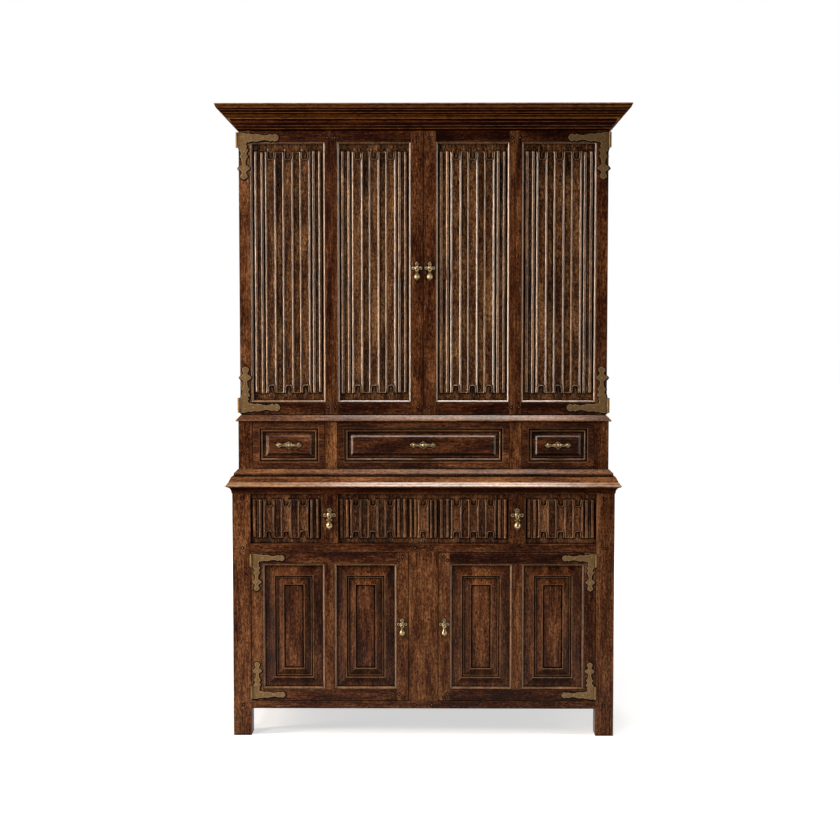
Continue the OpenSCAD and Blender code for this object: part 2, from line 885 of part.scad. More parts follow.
module hinge_pin(axis, z0, length, head_r) {
    head = 1.6;
    barrel_piece(axis, pin_r, [z0 - head / 2, z0 + length + head / 2]);
    barrel_piece(axis, head_r, [z0 - head - joint, z0 - joint]);
    barrel_piece(axis, head_r, [z0 + length + joint, z0 + length + joint + head]);
}

module hinge_pins() {
    color(brass)
        both_sides() {
            for (z = barrel_starts(z_leaf, z_leaf_top, upper_barrel_l))
                hinge_pin(upper_axis, z, upper_barrel_l, upper_barrel_r - 0.7);
            for (z = barrel_starts(base_door_z[0], base_door_z[1], base_barrel_l))
                hinge_pin(base_axis, z, base_barrel_l, base_barrel_r - 0.7);
        }
}

// Television doors

bead_r = bead_w - 1.5;
function bead_outline(t) = concat(
    [[joint, -t], [joint, 0], [1.5, 0]],
    arc([1.5, -bead_r], [bead_r, bead_r], 75, 0, 4),
    [[bead_w, -t]]
);

// Frame of a door leaf on the right side, with a mitred bead round its opening
module leaf_frame(x, stile0, stile1) {
    y = [y_door, y_door + leaf_t];
    opening_x = [x[0] + stile0, x[1] - stile1];
    opening_z = [z_leaf + leaf_bottom_rail_h, z_leaf_top - leaf_top_rail_h];
    ring_x = [opening_x[0] - bead_w, opening_x[1] + bead_w];
    ring_z = [opening_z[0] - bead_w, opening_z[1] + bead_w];
    slab([x[0], ring_x[0] - joint], y, [z_leaf, z_leaf_top]);
    slab([ring_x[1] + joint, x[1]], y, [z_leaf, z_leaf_top]);
    slab(ring_x, y, [z_leaf, ring_z[0]]);
    slab(ring_x, y, [ring_z[1], z_leaf_top]);
    on_face((ring_x[0] + ring_x[1]) / 2, y_door, (ring_z[0] + ring_z[1]) / 2)
        mitred_ring(ring_x[1] - ring_x[0], ring_z[1] - ring_z[0], bead_w, bead_outline(leaf_t));
}

module leaf_panel(x, stile0, stile1) {
    opening_x = [x[0] + stile0, x[1] - stile1];
    opening_z = [z_leaf + leaf_bottom_rail_h, z_leaf_top - leaf_top_rail_h];
    on_face((opening_x[0] + opening_x[1]) / 2, y_door + panel_set, (opening_z[0] + opening_z[1]) / 2)
        fold_panel(opening_x[1] - opening_x[0] - 2 * panel_gap,
                   opening_z[1] - opening_z[0] - 2 * panel_gap,
                   bands, roll_zone_w, leaf_ground_h, leaf_t - panel_set - panel_back);
}

module outer_leaf_frame(side) {
    color(wood)
        on_side(side)
            leaf_frame(outer_leaf, seam_stile_w, outer_stile_w);
}

module outer_leaf_panel(side) {
    color(carved)
        on_side(side)
            leaf_panel(outer_leaf, seam_stile_w, outer_stile_w);
}

module inner_leaf_frame(side) {
    color(wood)
        on_side(side)
            leaf_frame(inner_leaf, meeting_stile_w, seam_stile_w);
}

module inner_leaf_panel(side) {
    color(carved)
        on_side(side)
            leaf_panel(inner_leaf, meeting_stile_w, seam_stile_w);
}

// Butt hinges on the backs of the two leaves, at three heights
seam_barrel_r = 3;
seam_pin_r = 1.5;
seam_hinge_l = 60;
seam_leaf_w = 22;
seam_leaf_t = 1.5;
y_leaf_back = y_door + leaf_t;
seam_axis = [seam_x, y_seam];
function seam_hinge_starts() =
    let (span = z_leaf_top - z_leaf)
    [for (t = [0.12, 0.5, 0.88]) z_leaf + span * t - seam_hinge_l / 2];

module seam_outer_half(z0) {
    k = knuckles(z0, seam_hinge_l);
    difference() {
        union() {
            slab([seam_x + seam_barrel_r + knuckle_gap, seam_x + seam_leaf_w],
                 [y_leaf_back, y_leaf_back + seam_leaf_t], [z0, z0 + seam_hinge_l]);
            for (z = [k[0], k[2]]) {
                barrel_piece(seam_axis, seam_barrel_r, z);
                slab([seam_x, seam_x + seam_leaf_w / 2], [y_leaf_back + edge_gap, y_leaf_back + seam_leaf_t], z);
            }
        }
        barrel_bore(seam_axis, seam_pin_r, [z0, z0 + seam_hinge_l]);
    }
    barrel_piece(seam_axis, seam_pin_r, [z0, z0 + seam_hinge_l]);
}

module seam_inner_half(z0) {
    k = knuckles(z0, seam_hinge_l);
    difference() {
        union() {
            slab([seam_x - seam_leaf_w, seam_x - seam_barrel_r - knuckle_gap],
                 [y_leaf_back, y_leaf_back + seam_leaf_t], [z0, z0 + seam_hinge_l]);
            barrel_piece(seam_axis, seam_barrel_r, k[1]);
            slab([seam_x - seam_leaf_w / 2, seam_x], [y_leaf_back + edge_gap, y_leaf_back + seam_leaf_t], k[1]);
        }
        barrel_bore(seam_axis, seam_pin_r, [z0, z0 + seam_hinge_l]);
    }
}

module outer_leaf_hinges(side) {
    starts = barrel_starts(z_leaf, z_leaf_top, upper_barrel_l);
    color(brass)
        on_side(side) {
            for (i = [0 : 1]) {
                k = knuckles(starts[i], upper_barrel_l);
                difference() {
                    union() {
                        strap(upper_x, y_door, i == 0 ? z_leaf : z_leaf_top, i == 0 ? 1 : -1, 1);
                        barrel_piece(upper_axis, upper_barrel_r, k[1]);
                        slab([upper_x - arm_centre, upper_axis[0]], [y_door - strap_t, y_door], k[1]);
                    }
                    barrel_bore(upper_axis, pin_r, k[1]);
                }
            }
            for (z = seam_hinge_starts())
                seam_outer_half(z);
        }
}

// Drop pulls

// Back plate of four lobes with two cheeks that hold the pin of the drop
lobe_r = 6.5;
lobe_d = 12.5;
cheek_t = 1.8;
ring_half = 2.1;
drop_pin_r = 1.2;
function pin_out(r) = r + 0.9;

module pull_plate(share, r) {
    out = pin_out(r);
    linear_extrude(strap_t)
        scale(share)
            union() {
                circle(8);
                for (a = [0, 90, 180, 270])
                    rotate(a) {
                        translate([lobe_d, 0])
                            circle(lobe_r);
                        translate([lobe_d - 3, 0])
                            square([6, 7], center = true);
                    }
                rotate(45)
                    square(15, center = true);
            }
    rotate_extrude()
        polygon([[0, strap_t - 0.5], [6.5 * share, strap_t - 0.5], [4.5 * share, strap_t + 1.6],
                 [0, strap_t + 2]]);
    for (side = [left, right])
        translate([side * (ring_half + 0.3 + cheek_t / 2), 0, 0])
            hinge_cheek(out);
    rotate([0, 90, 0])
        translate([-out, 0, -ring_half - 0.3 - cheek_t / 2])
            cylinder(h = 2 * ring_half + 0.6 + cheek_t, r = drop_pin_r);
}

module hinge_cheek(out) {
    slab([-cheek_t / 2, cheek_t / 2], [-2.6, 2.6], [strap_t - 0.5, out]);
    rotate([0, 90, 0])
        translate([-out, 0, -cheek_t / 2])
            cylinder(h = cheek_t, r = 2.6);
}

// Turned drop that hangs from its ring at the origin
module drop(r, l) {
    steps = 12;
    neck = 1.7;
    collar = l - 2.9 * r;
    difference() {
        union() {
            rotate([0, 90, 0])
                translate([0, 0, -ring_half])
                    cylinder(h = 2 * ring_half, r = 3);
            rotate_extrude()
                polygon(concat(
                    [[0, -1.5], [neck, -1.5], [neck, -collar + 2]],
                    arc([neck, -collar], [2.4, 2], 90, -90, 5),
                    [
                        for (i = [1 : steps - 1])
                            let (t = i / steps)
                                [max(neck + 0.2, r * sin(180 * pow(t, 1.55))), -collar - 2 - (l - collar - 2) * t]
                    ],
                    [[0, -l]]
                ));
        }
        rotate([0, 90, 0])
            translate([0, 0, -reach / 2])
                cylinder(h = reach, r = drop_pin_r + pin_gap);
    }
}

module hanging_drop(x, y, z, r, l) {
    translate([x, y - pin_out(r), z])
        drop(r, l);
}

module inner_leaf_brass(side) {
    color(brass)
        on_side(side) {
            for (z = seam_hinge_starts())
                seam_inner_half(z);
            on_face(upper_pull_x, y_door, z_leaf + upper_pull_h)
                pull_plate(1, drop_r);
        }
}

module door_drop(side) {
    color(brass)
        hanging_drop(side * upper_pull_x, y_door, z_leaf + upper_pull_h, drop_r, drop_l);
}

// Base doors

base_door_x = [centre_x + door_gap, leg_x - door_gap];
base_door_z = [z_rail_top + door_gap, z_opening_top - door_gap];
base_pull_x = base_door_x[0] + (base_stile_w - bead_w) / 2 + 1;
base_panel_w = (base_door_x[1] - base_door_x[0] - 2 * base_stile_w - muntin_w) / 2;
base_panel_h = base_door_z[1] - base_door_z[0] - 2 * base_door_rail_h;
base_panel_centres = [
    base_door_x[0] + base_stile_w + base_panel_w / 2,
    base_door_x[1] - base_stile_w - base_panel_w / 2
];
base_door_mid = (base_door_z[0] + base_door_z[1]) / 2;

module base_door_frame(side) {
    y = [y_base, y_base + base_door_t];
    flat = base_stile_w - bead_w;
    rail_x = [base_door_x[0] + flat, base_door_x[1] - flat];
    rail_h = base_door_rail_h - bead_w;
    mid = (base_door_x[0] + base_door_x[1]) / 2;
    color(wood)
        on_side(side) {
            slab([base_door_x[0], rail_x[0] - joint], y, base_door_z);
            slab([rail_x[1] + joint, base_door_x[1]], y, base_door_z);
            slab(rail_x, y, [base_door_z[0], base_door_z[0] + rail_h]);
            slab(rail_x, y, [base_door_z[1] - rail_h, base_door_z[1]]);
            slab([mid - muntin_w / 2 + bead_w + joint, mid + muntin_w / 2 - bead_w - joint], y,
                 [base_door_z[0] + rail_h + joint, base_door_z[1] - rail_h - joint]);
            for (x = base_panel_centres)
                on_face(x, y_base, base_door_mid)
                    mitred_ring(base_panel_w + 2 * bead_w, base_panel_h + 2 * bead_w, bead_w,
                                bead_outline(base_door_t));
        }
}

// Panel that slopes up to a first ridge, drops to a groove, slopes up to a second ridge and drops
// to a sunken field
module double_raised(w, h) {
    back = -base_door_t + 6;
    edge_z = -9.5;
    first = [34, 37, -2.5];
    second = [40, 29, -1.5];
    field_in = 72;
    field_z = -6;
    difference() {
        fielded(w, h, back, edge_z, first[2], first[0]);
        block(w - 2 * first[1], h - 2 * first[1], [-8.5, cut]);
    }
    difference() {
        fielded(w - 2 * second[0], h - 2 * second[0], back, -8, second[2], second[1]);
        block(w - 2 * field_in, h - 2 * field_in, [field_z, cut]);
    }
}

module base_door_panels(side) {
    color(carved)
        on_side(side)
            for (x = base_panel_centres)
                on_face(x, y_base, base_door_mid)
                    double_raised(base_panel_w - 2 * panel_gap, base_panel_h - 2 * panel_gap);
}

module base_door_brass(side) {
    starts = barrel_starts(base_door_z[0], base_door_z[1], base_barrel_l);
    edge = base_axis[0] - base_barrel_r - knuckle_gap;
    color(brass)
        on_side(side) {
            for (i = [0 : 1]) {
                k = knuckles(starts[i], base_barrel_l);
                difference() {
                    union() {
                        intersection() {
                            strap(base_door_x[1], y_base, base_door_z[i], i == 0 ? 1 : -1, base_strap_share);
                            slab([0, edge], [y_base - reach, y_base + reach], [0, z_base_top]);
                        }
                        barrel_piece(base_axis, base_barrel_r, k[1]);
                        slab([edge - cut, base_axis[0]], [y_base - strap_t, y_base - edge_gap], k[1]);
                        slab([edge - 10, edge], [y_base - strap_t, y_base], k[1]);
                    }
                    barrel_bore(base_axis, pin_r, k[1]);
                }
            }
            on_face(base_pull_x, y_base, base_door_z[0] + base_pull_h)
                pull_plate(0.95, drop_r);
        }
}

module base_door_drop(side) {
    color(brass)
        hanging_drop(side * base_pull_x, y_base, base_door_z[0] + base_pull_h, drop_r, drop_l);
}

// Drawers

// Open box behind a drawer front, between x limits, from its underside z0 up
module drawer_box(x, y_front, z0, h) {
    y = [y_front + front_t + joint, y_front + front_t + drawer_l];
    inner = [x[0] + drawer_side_t + joint, x[1] - drawer_side_t - joint];
    bottom_up = 5;
    slab([x[0], x[0] + drawer_side_t], y, [z0, z0 + h]);
    slab([x[1] - drawer_side_t, x[1]], y, [z0, z0 + h]);
    slab(inner, [y[0], y[0] + drawer_side_t], [z0 + bottom_up, z0 + h]);
    slab(inner, [y[1] - drawer_side_t, y[1]], [z0 + bottom_up, z0 + h]);
    slab(inner, [y[0] + drawer_side_t + joint, y[1] - drawer_side_t - joint],
         [z0 + bottom_up, z0 + bottom_up + drawer_bottom_t]);
}

frieze_front_x = [centre_x + drawer_gap, leg_x - drawer_gap];
frieze_mid_x = (frieze_front_x[0] + frieze_front_x[1]) / 2;
frieze_front_h = frieze_h - 2 * drawer_gap;
frieze_mid_z = z_frieze + frieze_h / 2;
frieze_pull_z = frieze_mid_z + 14;

module frieze_front(side) {
    panel_w = (frieze_front_x[1] - frieze_front_x[0] - frieze_stile_w) / 2 - joint;
    color(carved)
        on_side(side) {
            slab([frieze_mid_x - frieze_stile_w / 2, frieze_mid_x + frieze_stile_w / 2],
                 [y_base, y_base + front_t],
                 [z_frieze + drawer_gap, z_base_top - drawer_gap]);
            for (x = [frieze_front_x[0] + panel_w / 2, frieze_front_x[1] - panel_w / 2])
                on_face(x, y_base + panel_set, frieze_mid_z)
                    fold_panel(panel_w, frieze_front_h, bands, roll_zone_w, frieze_ground_h,
                               front_t - panel_set);
        }
}

module frieze_box(side) {
    color(secondary)
        on_side(side)
            drawer_box(frieze_box_x, y_base, z_frieze + slide_gap, frieze_box_h);
}

module frieze_plate(side) {
    color(brass)
        on_side(side)
            on_face(frieze_mid_x, y_base, frieze_pull_z)
                pull_plate(1.25, long_drop_r);
}

module frieze_drop(side) {
    color(brass)
        hanging_drop(side * frieze_mid_x, y_base, frieze_pull_z, long_drop_r, long_drop_l);
}

// Front with a flat margin, a groove, a bead, a valley and a raised field
module raised_front(w, h) {
    margin = 25;
    groove = 28;
    bead_in = 36;
    field = 41;
    bevel = 18;
    difference() {
        block(w, h, [-front_t, 0]);
        block(w - 2 * margin, h - 2 * margin, [-8, cut]);
    }
    difference() {
        fielded(w - 2 * groove, h - 2 * groove, -10, -3.5, -1, 3);
        fielded(w - 2 * bead_in + 2, h - 2 * bead_in + 2, -6, -6, 2, 4);
    }
    fielded(w - 2 * field, h - 2 * field, -10, -6, 0, bevel);
}

module row_front(x) {
    color(carved)
        on_face((x[0] + x[1]) / 2, y_row, z_row + row_h / 2)
            raised_front(x[1] - x[0] - 2 * drawer_gap, row_h - 2 * drawer_gap);
}

module row_box(x) {
    color(secondary)
        drawer_box(x, y_row, z_row + slide_gap, row_box_h);
}

// Bar pull on a back plate of three diamonds
module row_pull(x) {
    end_x = bar_pull_w / 2 - 10.5;
    bar_out = 14;
    color(brass)
        on_face(x, y_row, z_row + row_h / 2) {
            linear_extrude(strap_t)
                union() {
                    rotate(45)
                        square(20.5, center = true);
                    square([2 * end_x, 7], center = true);
                    for (side = [left, right]) {
                        translate([side * end_x, 0])
                            rotate(45)
                                square(14.8, center = true);
                        translate([side * end_x / 2, 0])
                            circle(5.5);
                    }
                    for (a = [90, 270])
                        rotate(a)
                            translate([13.5, 0])
                                circle(3);
                }
            for (side = [left, right])
                translate([side * (end_x - 2), 0, strap_t - 0.5])
                    cylinder(h = bar_out - strap_t, r = 2.6);
            translate([0, 0, bar_out])
                rotate([0, 90, 0])
                    rotate_extrude()
                        bar_outline(end_x);
        }
}

// Half outline of the bar: a ball at each end, a waist and a swelling in the middle
module bar_outline(end_x) {
    swell = 5;
    waist = 2.2;
    ball = 4;
    polygon(concat(
        [[0, -end_x - ball]],
        arc([0, -end_x], [ball, ball], -70, 60, 5),
        [for (t = [0.1 : 0.1 : 0.9])
            [waist + (swell - waist) * pow(sin(180 * t), 4), -end_x + 2 * end_x * t]],
        arc([0, end_x], [ball, ball], -60, 70, 5),
        [[0, end_x + ball]]
    ));
}

small_drawer = [small_x0, small_x1];
left_drawer = [-small_x1, -small_x0];
wide_drawer = [-wide_x, wide_x];
small_mid = (small_x0 + small_x1) / 2;

base_legs();
base_sides();
base_front_frame();
frieze_block();
base_back();
base_floor();
drawer_bed();
base_partition();
base_shelves();
base_top();
upper_sides();
upper_top_board();
cornice();
tv_deck();
upper_bottom_board();
upper_back();
waist_mouldings();
drawer_row_frame();
drawer_row_runners();
fixed_hinge_leaves();
hinge_pins();
outer_leaf_frame(left);  // left_outer_leaf_frame
outer_leaf_panel(left);  // left_outer_leaf_panel
outer_leaf_hinges(left);  // left_outer_leaf_hinges
inner_leaf_frame(left);  // left_inner_leaf_frame
inner_leaf_panel(left);  // left_inner_leaf_panel
inner_leaf_brass(left);  // left_inner_leaf_brass
door_drop(left);  // left_door_drop
outer_leaf_frame(right);  // right_outer_leaf_frame
outer_leaf_panel(right);  // right_outer_leaf_panel
outer_leaf_hinges(right);  // right_outer_leaf_hinges
inner_leaf_frame(right);  // right_inner_leaf_frame
inner_leaf_panel(right);  // right_inner_leaf_panel
inner_leaf_brass(right);  // right_inner_leaf_brass
door_drop(right);  // right_door_drop
base_door_frame(left);  // left_base_door_frame
base_door_panels(left);  // left_base_door_panels
base_door_brass(left);  // left_base_door_brass
base_door_drop(left);  // left_base_door_drop
base_door_frame(right);  // right_base_door_frame
base_door_panels(right);  // right_base_door_panels
base_door_brass(right);  // right_base_door_brass
base_door_drop(right);  // right_base_door_drop
frieze_front(left);  // left_frieze_front
frieze_box(left);  // left_frieze_box
frieze_plate(left);  // left_frieze_plate
frieze_drop(left);  // left_frieze_drop
frieze_front(right);  // right_frieze_front
frieze_box(right);  // right_frieze_box
frieze_plate(right);  // right_frieze_plate
frieze_drop(right);  // right_frieze_drop
row_front(left_drawer);  // left_row_front
row_box([-small_box_x[1], -small_box_x[0]]);  // left_row_box
row_pull(-small_mid);  // left_row_pull
row_front(wide_drawer);  // centre_row_front
row_box([-wide_box_x, wide_box_x]);  // centre_row_box
row_pull(0);  // centre_row_pull
row_front(small_drawer);  // right_row_front
row_box(small_box_x);  // right_row_box
row_pull(small_mid);  // right_row_pull
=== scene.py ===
import json
import math
import random

import bmesh
import bpy
import numpy as np
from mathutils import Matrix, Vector


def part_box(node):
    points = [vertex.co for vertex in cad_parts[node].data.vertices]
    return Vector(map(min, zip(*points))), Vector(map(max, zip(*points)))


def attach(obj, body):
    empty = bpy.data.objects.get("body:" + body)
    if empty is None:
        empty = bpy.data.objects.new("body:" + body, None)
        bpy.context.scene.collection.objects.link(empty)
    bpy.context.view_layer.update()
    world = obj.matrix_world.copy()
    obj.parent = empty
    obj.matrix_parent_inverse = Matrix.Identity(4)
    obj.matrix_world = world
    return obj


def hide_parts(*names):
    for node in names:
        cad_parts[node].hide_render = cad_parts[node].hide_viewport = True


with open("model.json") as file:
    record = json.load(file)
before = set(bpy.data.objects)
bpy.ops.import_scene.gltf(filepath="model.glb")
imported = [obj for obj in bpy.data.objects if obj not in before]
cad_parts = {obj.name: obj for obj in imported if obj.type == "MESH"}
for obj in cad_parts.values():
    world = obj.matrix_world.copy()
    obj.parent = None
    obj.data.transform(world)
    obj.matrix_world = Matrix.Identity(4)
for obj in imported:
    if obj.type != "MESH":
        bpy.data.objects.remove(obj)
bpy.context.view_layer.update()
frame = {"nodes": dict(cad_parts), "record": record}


# The photographer's room. The cabinet stands on a pale paper sweep between two tall soft lamps, with
# one lamp high in front of it, one overhead and one behind. The camera is straight in front, about
# 1.4 m above the floor.

def linear(code):
    """A colour written as sRGB hex, as the linear values that a shader reads."""
    parts = [int(code[i:i + 2], 16) / 255 for i in (1, 3, 5)]
    return [c / 12.92 if c <= 0.04045 else ((c + 0.055) / 1.055) ** 2.4 for c in parts] + [1.0]


def add(tree, kind, *inputs, out=0, stops=(), **settings):
    """Adds a shader node and gives back the output asked for. The inputs come in order or by name,
    each as a value or as the output that it is linked to, and stops are those of a colour ramp."""
    made = tree.nodes.new("ShaderNode" + kind)
    for name, value in settings.items():
        setattr(made, name, value)
    named = inputs[0] if inputs and isinstance(inputs[0], dict) else dict(enumerate(inputs))
    for name, value in named.items():
        if isinstance(value, bpy.types.NodeSocket):
            tree.links.new(value, made.inputs[name])
        else:
            made.inputs[name].default_value = value
    for i, (place, shade) in enumerate(stops):
        ramp = made.color_ramp.elements
        stop = ramp[i] if i < 2 else ramp.new(place)
        stop.position, stop.color = place, linear(shade)
    return made.outputs if out is None else made.outputs[out]


def empty_tree(owner):
    owner.use_nodes = True
    owner.node_tree.nodes.clear()
    return owner.node_tree


scene = bpy.context.scene
scene.view_settings.view_transform = "Standard"

camera_data = bpy.data.cameras.new("camera")
camera_data.lens = 60.0
camera_data.sensor_width = 36.0
camera = bpy.data.objects.new("camera", camera_data)
camera.location = (0.030, -5.278, 1.434)
camera.rotation_euler = (math.radians(90 - 3.30), 0, math.radians(0.48))
scene.collection.objects.link(camera)
scene.camera = camera


def paper_seen(tree, place, near, far):
    """One where the camera looks, or where a reflection looks past the cabinet at the paper behind
    it, from the near place to the far one. Elsewhere it is nothing."""
    rays = add(tree, "LightPath", out=None)
    mirrored = add(tree, "Math", rays["Is Glossy Ray"], rays["Is Transmission Ray"], operation="MAXIMUM")
    behind = add(tree, "MapRange", place, near, far)
    mirrored = add(tree, "Math", mirrored, behind, operation="MULTIPLY")
    return add(tree, "Math", rays["Is Camera Ray"], mirrored, operation="MAXIMUM")


# The room behind the cabinet is white paper, and the room in front of it is dim.
room = bpy.data.worlds.new("room")
tree = empty_tree(room)
direction = add(tree, "SeparateXYZ", add(tree, "TexCoord", out="Generated"), out="Y")
level = add(tree, "MapRange", add(tree, "LightPath", out="Is Glossy Ray"), 0, 1, 0.06, 0.01)
dim = add(tree, "Background", linear("#f2efea"), level)
white = add(tree, "Background", linear("#ffffff"), 1.0)
seen = add(tree, "MixShader", paper_seen(tree, direction, 0.05, 0.5), dim, white)
add(tree, "OutputWorld", seen, out=None)
scene.world = room


def soft_lamp(name, place, aim, size, watts, tint):
    lamp = bpy.data.lights.new(name, "AREA")
    lamp.shape = "RECTANGLE"
    lamp.size, lamp.size_y = size
    lamp.energy = watts
    lamp.color = linear(tint)[:3]
    stand = bpy.data.objects.new(name, lamp)
    stand.location = place
    stand.rotation_euler = (Vector(aim) - Vector(place)).to_track_quat("-Z", "Y").to_euler()
    scene.collection.objects.link(stand)


soft_lamp("left_lamp", (-4.2, -1.4, 1.7), (0, -0.25, 1.3), (0.45, 2.4), 205, "#ffeddb")
soft_lamp("key_lamp", (-2.9, -3.3, 3.3), (0, -0.25, 1.2), (0.8, 0.8), 84, "#fff8f0")
soft_lamp("right_lamp", (4.3, -1.3, 1.7), (0, -0.25, 1.3), (0.45, 2.4), 55, "#fff6ec")
soft_lamp("top_lamp", (0.2, -1.35, 5.9), (0, -0.25, 1.2), (1.7, 0.9), 185, "#fffaf4")
soft_lamp("back_lamp", (0.4, 3.6, 3.2), (0, 0.2, 1.1), (2.4, 1.6), 110, "#ffffff")

# The floor is matt white paper that shows as white to the camera and keeps the soft shadow.
floor_paper = bpy.data.materials.new("matt_white_paper")
tree = empty_tree(floor_paper)
diffuse = add(tree, "BsdfDiffuse", linear("#c9c9c9"))
place = add(tree, "TexCoord", out="Object")
depth = add(tree, "SeparateXYZ", place, out="Y")
far = add(tree, "VectorMath", place, out="Value", operation="LENGTH")
glow = add(tree, "Emission", linear("#ffffff"), add(tree, "MapRange", far, 1.2, 3.2, 0.62, 1.0))
lit = add(tree, "AddShader", diffuse, glow)
shown = add(tree, "MixShader", paper_seen(tree, depth, -1.62, -1.42), diffuse, lit)
add(tree, "OutputMaterial", shown, out=None)
floor_mesh = bmesh.new()
bmesh.ops.create_grid(floor_mesh, x_segments=8, y_segments=8, size=40)
floor_data = bpy.data.meshes.new("floor")
floor_mesh.to_mesh(floor_data)
floor_mesh.free()
floor_data.materials.append(floor_paper)
floor = bpy.data.objects.new("floor", floor_data)
floor.location = (0, 0, -0.0005)
scene.collection.objects.link(floor)


# Legs, rails and framed sides of the base. They are oak boards, planed by hand, pegged together, stained
# nearly black-brown, rubbed back on the arrises and waxed, and their pale arrises are partly painted
# highlight. Soot and old wax sit in every corner and pore, and the darkening in the corners is partly
# painted shade.

MM = 0.001
body_of_node = {n: b for b, nodes in frame["record"]["behaviour"]["bodies"].items() for n in nodes}


def stained_oak(name, shades, mottle=0.9, streaks=0.9, worn_and_highlight="#b08a62", wear_and_highlight=0.6, wax=0.2, dull=0.0,
                polish=0.16, soot_and_shade_mm=9, painted_shade_below=0.8, rub_and_highlight_mm=2.0, lumps=0.5, shine=0.07):
    """Open-pored oak under a dark stain and wax: cloudy patches where the stain took unevenly, streaks
    along the grain, dark pores and small old bruises. Undersides are painted darker as shade, and faces
    that look up are painted paler as light from above. Pores are drawn about three times as coarse as real
    ones, so that they show from across a room."""
    made = bpy.data.materials.new(name)
    tree = empty_tree(made)
    grain = add(tree, "Attribute", out="Vector", attribute_name="grain")
    tone = add(tree, "Attribute", out="Fac", attribute_name="tone")
    relief = add(tree, "Attribute", out="Fac", attribute_name="relief")
    facing = add(tree, "NewGeometry", out="Normal")
    upward = add(tree, "SeparateXYZ", facing, out="Z")

    def cloud(stretch, size_mm, detail, rough, warp=0.0):
        place = add(tree, "VectorMath", grain, (1, 1, stretch), operation="MULTIPLY")
        return add(tree, "TexNoise", {"Vector": place, "Scale": 1 / (size_mm * MM), "Detail": detail,
                                      "Roughness": rough, "Distortion": warp})

    broad, blotch = cloud(0.2, 42, 2, 0.5, 0.4), cloud(0.5, 6.0, 4, 0.85)
    streak, pore, bruise = cloud(0.06, 4.0, 4, 0.75), cloud(0.12, 2.2, 1, 0.5), cloud(0.7, 6.0, 1, 0.5)
    depth = 0.5
    # The last source makes faces that look up a little paler: painted light from above
    for source in ((broad, 0, 1, -0.45, 0.45), (blotch, 0, 1, -mottle / 2, mottle / 2),
                   (streak, 0, 1, -streaks / 2, streaks / 2), (tone, -1.6, 1, -0.24, 0.14),
                   (upward, 0.1, 0.6, 0, 0.07)):
        depth = add(tree, "Math", depth, add(tree, "MapRange", *source))
    stain = add(tree, "ValToRGB", depth, stops=zip((0.12, 0.36, 0.52, 0.68, 0.92), shades))
    pores = add(tree, "MapRange", pore, 0.34, 0.44, 0.35, 1)
    bruises = add(tree, "MapRange", bruise, 0.30, 0.36, 0.25, 1)
    shade = add(tree, "Math", pores, bruises, operation="MULTIPLY")
    colour = add(tree, "VectorMath", {0: stain, "Scale": shade}, operation="SCALE")

    # Painted shade in corners and hollows, from how little of the room they see close by, with soot and old
    # wax there as well: the colour goes towards near black and the shine is dimmed
    open_sky = add(tree, "AmbientOcclusion", {"Distance": soot_and_shade_mm * MM}, out="AO", samples=6)
    darkening = add(tree, "MapRange", open_sky, 0.40, 0.96, 1, 0)
    # Hollows of the carving and faces that look down are darkened too: painted shade
    for cause in ((relief, -0.5, -0.03, 1, 0), (upward, -0.12, -0.5, 0, painted_shade_below)):
        darkening = add(tree, "Math", darkening, add(tree, "MapRange", *cause), operation="MAXIMUM")
    undarkened = add(tree, "MapRange", darkening, 0, 1, 1, 0)
    cover = add(tree, "Math", darkening, 0.95, operation="MULTIPLY")
    colour = add(tree, "Mix", {0: cover, 6: colour, 7: linear("#090302")}, out=2, data_type="RGBA")

    # Arrises and raised places rubbed back to paler wood, which also stands in for the highlights along
    # them: wear and painted highlight
    rounded = add(tree, "Bevel", rub_and_highlight_mm * MM, samples=4)
    agree = add(tree, "VectorMath", rounded, facing, out="Value", operation="DOT_PRODUCT")
    edge = add(tree, "Math", add(tree, "MapRange", agree, 0.995, 0.90, 0, 1),
               add(tree, "MapRange", open_sky, 0.90, 0.99, 0, 1), operation="MULTIPLY")
    raised = add(tree, "MapRange", relief, 0.15, 0.6, 0, 1)
    wear_and_painted_light = add(tree, "Math", edge, raised, operation="MAXIMUM")
    for share in (add(tree, "MapRange", cloud(0.3, 7, 3, 0.6), 0.36, 0.60, 0.3, 1), wear_and_highlight):
        wear_and_painted_light = add(tree, "Math", wear_and_painted_light, share, operation="MULTIPLY")
    colour = add(tree, "Mix", {0: wear_and_painted_light, 6: colour, 7: linear(worn_and_highlight)}, out=2, data_type="RGBA")

    matt = add(tree, "MapRange", blotch, 0.3, 0.7, 0.36 + dull, 0.52 + dull)
    rough = add(tree, "Math", darkening, 0.3, matt, operation="MULTIPLY_ADD")
    height = 0.0
    for noise, share in ((pore, 0.35), (streak, 0.30), (blotch, 0.8)):
        height = add(tree, "Math", noise, share, height, operation="MULTIPLY_ADD")
    bumped = add(tree, "Bump", {"Height": height, "Strength": lumps, "Distance": 0.7 * MM})
    shiny, waxed = (add(tree, "Math", undarkened, share, operation="MULTIPLY") for share in (shine, wax))
    shader = add(tree, "BsdfPrincipled",
                 {"Base Color": colour, "Roughness": rough, "IOR": 1.5, "Specular IOR Level": shiny,
                  "Normal": bumped, "Coat Weight": waxed, "Coat Roughness": polish, "Coat IOR": 1.5})
    add(tree, "OutputMaterial", shader, out=None)
    return made


def boards_of(node, round_mm):
    """A copy of a CAD node's boards as clean faces with rounded arrises."""
    made = bmesh.new()
    made.from_mesh(frame["nodes"][node].data)
    bmesh.ops.remove_doubles(made, verts=made.verts, dist=1e-5)
    bmesh.ops.dissolve_limit(made, angle_limit=math.radians(0.8), verts=made.verts, edges=made.edges)
    sharp = [e for e in made.edges if e.is_manifold and e.calc_face_angle(0) > math.radians(24)]
    bmesh.ops.bevel(made, geom=sharp, offset=round_mm * MM, offset_type="OFFSET", segments=2,
                    profile=0.5, affect="EDGES", clamp_overlap=True)
    return made


